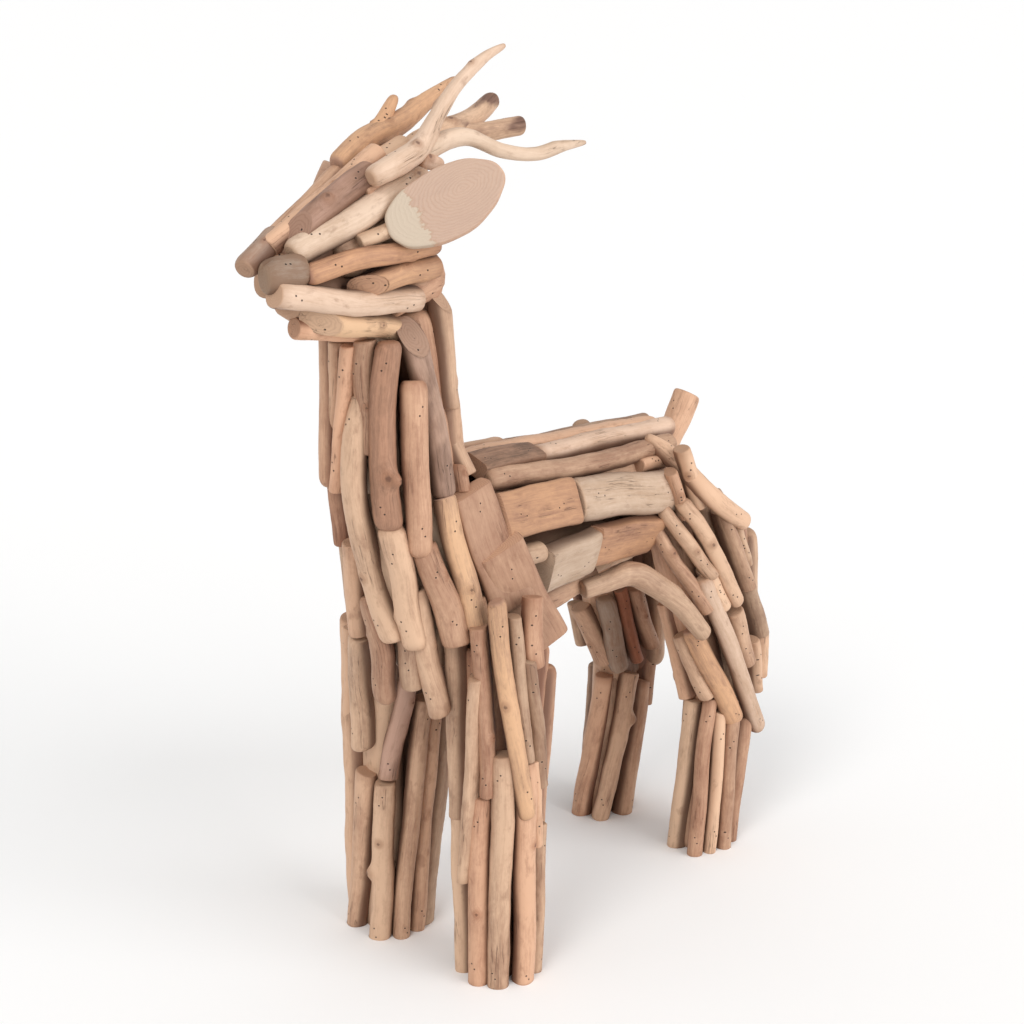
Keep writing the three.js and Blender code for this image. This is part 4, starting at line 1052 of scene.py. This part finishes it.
    nearest = g.math("MINIMUM", pin(0.0, 0.0), pin(1.7, drawn(29.1, 3.0, 2.4)))
    outer = g.between(outward, 0.5, 1.5) * pins
    hole = g.between(nearest, 0.36, 0.56, 1.0, 0.0) * outer
    color = g.blend(g.between(nearest, 0.5, 1.3, 1.0, 0.0) * outer * 0.3, color, light)
    color = g.blend(hole * 0.9, color, PIN_HOLE)
    shade = g.term("ShaderNodeHueSaturation", "Color", {
        "Hue": g.scaled(warm, -0.008, 0.5), "Saturation": g.scaled(warm, 0.10, 1.0),
        "Value": g.scaled(pale, 0.12, 1.0), "Color": color})

    rough = g.math("ADD", g.scaled(fibres, 0.22, 0.46), end * 0.14, clamp=True)
    height = fibres * 0.55 + fine * 0.35 + rings * end * 0.3 - hole * 2.2 - crack * 0.9
    g.add("NodeGroupOutput", {"Color": shade, "Roughness": rough, "Height": height})
    return tree


def wood_material(name, light, dark, end, contrast=1.0, ring_spacing=1.3, pith=(0, 0, 0),
                  bark=0.0, pins=1.0, relief=0.00022, ring_contrast=0.3, sap_reach=999.0):
    """A driftwood finish with its own two tones, end grain and wear."""
    found = bpy.data.materials.get(name)
    if found:
        return found
    material = bpy.data.materials.new(name)
    material.use_nodes = True
    tree = material.node_tree
    tree.nodes.clear()
    g = Graph(tree)
    wood = g.add("ShaderNodeGroup", node_tree=driftwood_group())
    for key, value in {
        "Light wood": (*light, 1), "Dark wood": (*dark, 1), "End wood": (*end, 1),
        "Grain contrast": contrast, "Ring spacing": ring_spacing, "Pith": pith,
        "Bark patches": bark, "Pins": pins, "Ring contrast": ring_contrast,
        "Sap reach": sap_reach,
    }.items():
        wood.inputs[key].default_value = value
    color, rough, height = (Term(g, socket) for socket in wood.outputs)
    bump = g.term("ShaderNodeBump", "Normal", {
        "Height": height, "Distance": relief, "Strength": 1.0})
    surface = g.term("ShaderNodeBsdfPrincipled", "BSDF", {
        "Base Color": color, "Roughness": rough, "Normal": bump, "Specular IOR Level": 0.3})
    g.add("ShaderNodeOutputMaterial", {"Surface": surface})
    return material


SLICE_COLOR = (0.50, 0.36, 0.28)


def tone(color, factor):
    return tuple(min(1, channel * factor) for channel in color)


def finish_for(slot):
    """The wood finish of one material slot of the record."""
    wood = bpy.context.scene.driftwood_colors
    finishes = {
        "driftwood_pale": (wood.pale, tone(wood.tan, 0.80), tone(wood.tan, 0.95), {}),
        "driftwood_tan": (wood.tan, tone(wood.dark, 1.15), tone(wood.tan, 0.8), {}),
        "driftwood_orange": (
            wood.orange, tone(wood.dark, 1.2), tone(wood.pink, 0.9), {"contrast": 1.2}),
        "driftwood_pink": (wood.pink, tone(wood.dark, 0.85), tone(wood.dark, 1.1), {"bark": 0.35}),
        "driftwood_grey": (wood.grey, tone(wood.dark, 1.05), tone(wood.tan, 0.75), {}),
        "driftwood_dark": (
            tone(wood.dark, 1.45), tone(wood.dark, 0.7), tone(wood.dark, 1.1), {"contrast": 1.3}),
        "driftwood_rough": (wood.tan, tone(wood.dark, 0.8), tone(wood.tan, 0.8), {"bark": 0.85}),
        "red_bark": (wood.bark, tone(wood.bark, 0.45), wood.dark, {"bark": 0.5, "relief": 0.0004}),
        "slice_face": (wood.tan, tone(wood.pink, 0.9), SLICE_COLOR, {
            "ring_spacing": 1.25, "pith": (6.0, 2.0, 0.0), "contrast": 0.7, "pins": 0.0,
            "ring_contrast": 0.26, "sap_reach": 7.5}),
    }
    light, dark, end, others = finishes[slot]
    return wood_material(f"worn_{slot}", light, dark, end, **others)


def build(nodes):
    """Makes the pieces of these nodes from the cutting lists, the branches and the ear slices."""
    settings = bpy.context.scene.driftwood_sticks
    for node in nodes:
        if node in EAR_LEANS:
            parts = [ear_slice(node)]
        elif node in BRANCHES:
            parts = [branch_stick(node, index, settings) for index in range(len(BRANCHES[node]))]
        else:
            rows = [(index, row) for index, row in enumerate(ALL_ROWS) if row[0] == node]
            parts = [row_stick(row, index, settings) for index, row in rows]
        if not parts:
            raise RuntimeError(f"no stick is listed for {node}")
        piece_from(node, parts, finish_for(SLOT_OF_NODE[node]))
    return {"FINISHED"}


def listed(rows):
    """The nodes of a cutting list, each once, in order."""
    return list(dict.fromkeys(row[0] for row in rows))


class DEER_OT_antlers(bpy.types.Operator):
    """Makes the three antler branches."""

    bl_idname = "deer.antlers"
    bl_label = "Antlers"

    def execute(self, context):
        return build(["antler_left", "antler_middle", "antler_right"])


class DEER_OT_ears(bpy.types.Operator):
    """Makes the two ears, slices of a branch."""

    bl_idname = "deer.ears"
    bl_label = "Ears"

    def execute(self, context):
        return build(list(EAR_LEANS))


class DEER_OT_branches(bpy.types.Operator):
    """Makes the tail and the bent branch under the belly."""

    bl_idname = "deer.branches"
    bl_label = "Tail and belly branch"

    def execute(self, context):
        return build(["tail_stub", "belly_branch"])


class DEER_OT_head(bpy.types.Operator):
    """Makes the sticks of the head."""

    bl_idname = "deer.head"
    bl_label = "Head sticks"

    def execute(self, context):
        return build(listed(HEAD_LIST))


class DEER_OT_neck(bpy.types.Operator):
    """Makes the sticks and boards of the neck and chest."""

    bl_idname = "deer.neck"
    bl_label = "Neck and chest sticks"

    def execute(self, context):
        return build(listed(NECK_LIST))


class DEER_OT_trunk(bpy.types.Operator):
    """Makes the sticks and boards of the trunk."""

    bl_idname = "deer.trunk"
    bl_label = "Trunk sticks"

    def execute(self, context):
        return build(listed(TRUNK_LIST))


class DEER_OT_haunches(bpy.types.Operator):
    """Makes the sticks of both haunches."""

    bl_idname = "deer.haunches"
    bl_label = "Haunch sticks"

    def execute(self, context):
        return build(listed([*HAUNCH_LIST, *THIGH_RIGHT_LIST]))


class DEER_OT_forelegs(bpy.types.Operator):
    """Makes the sticks of both forelegs."""

    bl_idname = "deer.forelegs"
    bl_label = "Foreleg sticks"

    def execute(self, context):
        return build(listed(FORELEG_LIST))


class DEER_OT_shins(bpy.types.Operator):
    """Makes the sticks of both hind shins."""

    bl_idname = "deer.shins"
    bl_label = "Shin sticks"

    def execute(self, context):
        return build(listed(SHIN_LIST))


def soft_light(name, spot, aim, spread, power, color=(1, 1, 1)):
    """A wide, far light that shines from a point's direction, as a large studio screen does."""
    data = bpy.data.lights.new(name, "SUN")
    data.angle = spread
    data.energy = power
    data.color = color
    light = bpy.data.objects.new(name, data)
    light.location = spot
    light.rotation_euler = (aim - Vector(spot)).to_track_quat("-Z", "Y").to_euler()
    bpy.context.scene.collection.objects.link(light)


FLOOR_REACH = 60.0
KEY_SPOT = (0.4, -1.45, 1.75)
KEY_COLOR = (1, 0.985, 0.96)
FILL_SPOT = (1.7, 0.25, 0.9)


class DEER_OT_stage(bpy.types.Operator):
    """Makes the pale floor, the soft lights and the camera."""

    bl_idname = "deer.stage"
    bl_label = "Stage"

    def execute(self, context):
        scene = context.scene
        stage = scene.driftwood_stage
        mesh = bpy.data.meshes.new("floor")
        corners = [(-FLOOR_REACH, -FLOOR_REACH, 0), (FLOOR_REACH, -FLOOR_REACH, 0),
                   (FLOOR_REACH, FLOOR_REACH, 0), (-FLOOR_REACH, FLOOR_REACH, 0)]
        mesh.from_pydata(corners, [], [(0, 1, 2, 3)])
        floor = bpy.data.objects.new("floor", mesh)
        scene.collection.objects.link(floor)
        floor_finish = bpy.data.materials.new("pale_floor")
        floor_finish.use_nodes = True
        shader = floor_finish.node_tree.nodes["Principled BSDF"]
        shader.inputs["Base Color"].default_value = (*stage.floor_color, 1)
        shader.inputs["Roughness"].default_value = 0.9
        mesh.materials.append(floor_finish)

        world = bpy.data.worlds.new("studio")
        world.use_nodes = True
        sky = world.node_tree.nodes["Background"].inputs
        sky["Color"].default_value = (1, 1, 1, 1)
        sky["Strength"].default_value = stage.sky
        scene.world = world
        middle = Vector((0, 0, stage.aim_height))
        soft_light("key", KEY_SPOT, middle, math.radians(24), stage.key_power, KEY_COLOR)
        soft_light("fill", FILL_SPOT, middle, math.radians(50), stage.fill_power)

        flat = math.cos(stage.elevation) * stage.distance
        camera_data = bpy.data.cameras.new("camera")
        camera_data.lens = stage.lens
        camera_data.sensor_width = 36
        camera = bpy.data.objects.new("camera", camera_data)
        camera.location = middle + Vector((
            flat * math.sin(stage.azimuth), -flat * math.cos(stage.azimuth),
            math.sin(stage.elevation) * stage.distance))
        camera.rotation_euler = (middle - camera.location).to_track_quat("-Z", "Y").to_euler()
        scene.collection.objects.link(camera)
        scene.camera = camera
        scene.view_settings.view_transform = "Standard"
        return {"FINISHED"}


OPERATORS = [
    DEER_OT_antlers, DEER_OT_ears, DEER_OT_branches, DEER_OT_head, DEER_OT_neck, DEER_OT_trunk,
    DEER_OT_haunches, DEER_OT_forelegs, DEER_OT_shins, DEER_OT_stage,
]


class DEER_PT_panel(bpy.types.Panel):
    """Lists the deer's settings and its pieces."""

    bl_idname = "DEER_PT_panel"
    bl_label = "Driftwood Deer"
    bl_space_type = "VIEW_3D"
    bl_region_type = "UI"
    bl_category = "Driftwood Deer"

    def draw(self, context):
        layout = self.layout
        for group in (context.scene.driftwood_sticks, context.scene.driftwood_colors,
                      context.scene.driftwood_stage):
            box = layout.box()
            for name in group.__annotations__:
                box.prop(group, name)
        for operator in OPERATORS:
            layout.operator(operator.bl_idname)


CLASSES = [StickSettings, WoodSettings, StageSettings, *OPERATORS, DEER_PT_panel]


def register():
    for one in CLASSES:
        bpy.utils.register_class(one)
    bpy.types.Scene.driftwood_sticks = bpy.props.PointerProperty(type=StickSettings)
    bpy.types.Scene.driftwood_colors = bpy.props.PointerProperty(type=WoodSettings)
    bpy.types.Scene.driftwood_stage = bpy.props.PointerProperty(type=StageSettings)


def unregister():
    del bpy.types.Scene.driftwood_stage
    del bpy.types.Scene.driftwood_colors
    del bpy.types.Scene.driftwood_sticks
    for one in reversed(CLASSES):
        bpy.utils.unregister_class(one)


def main():
    register()
    for operator in OPERATORS:
        family, name = operator.bl_idname.split(".")
        getattr(getattr(bpy.ops, family), name)()


if __name__ == "__main__":
    main()
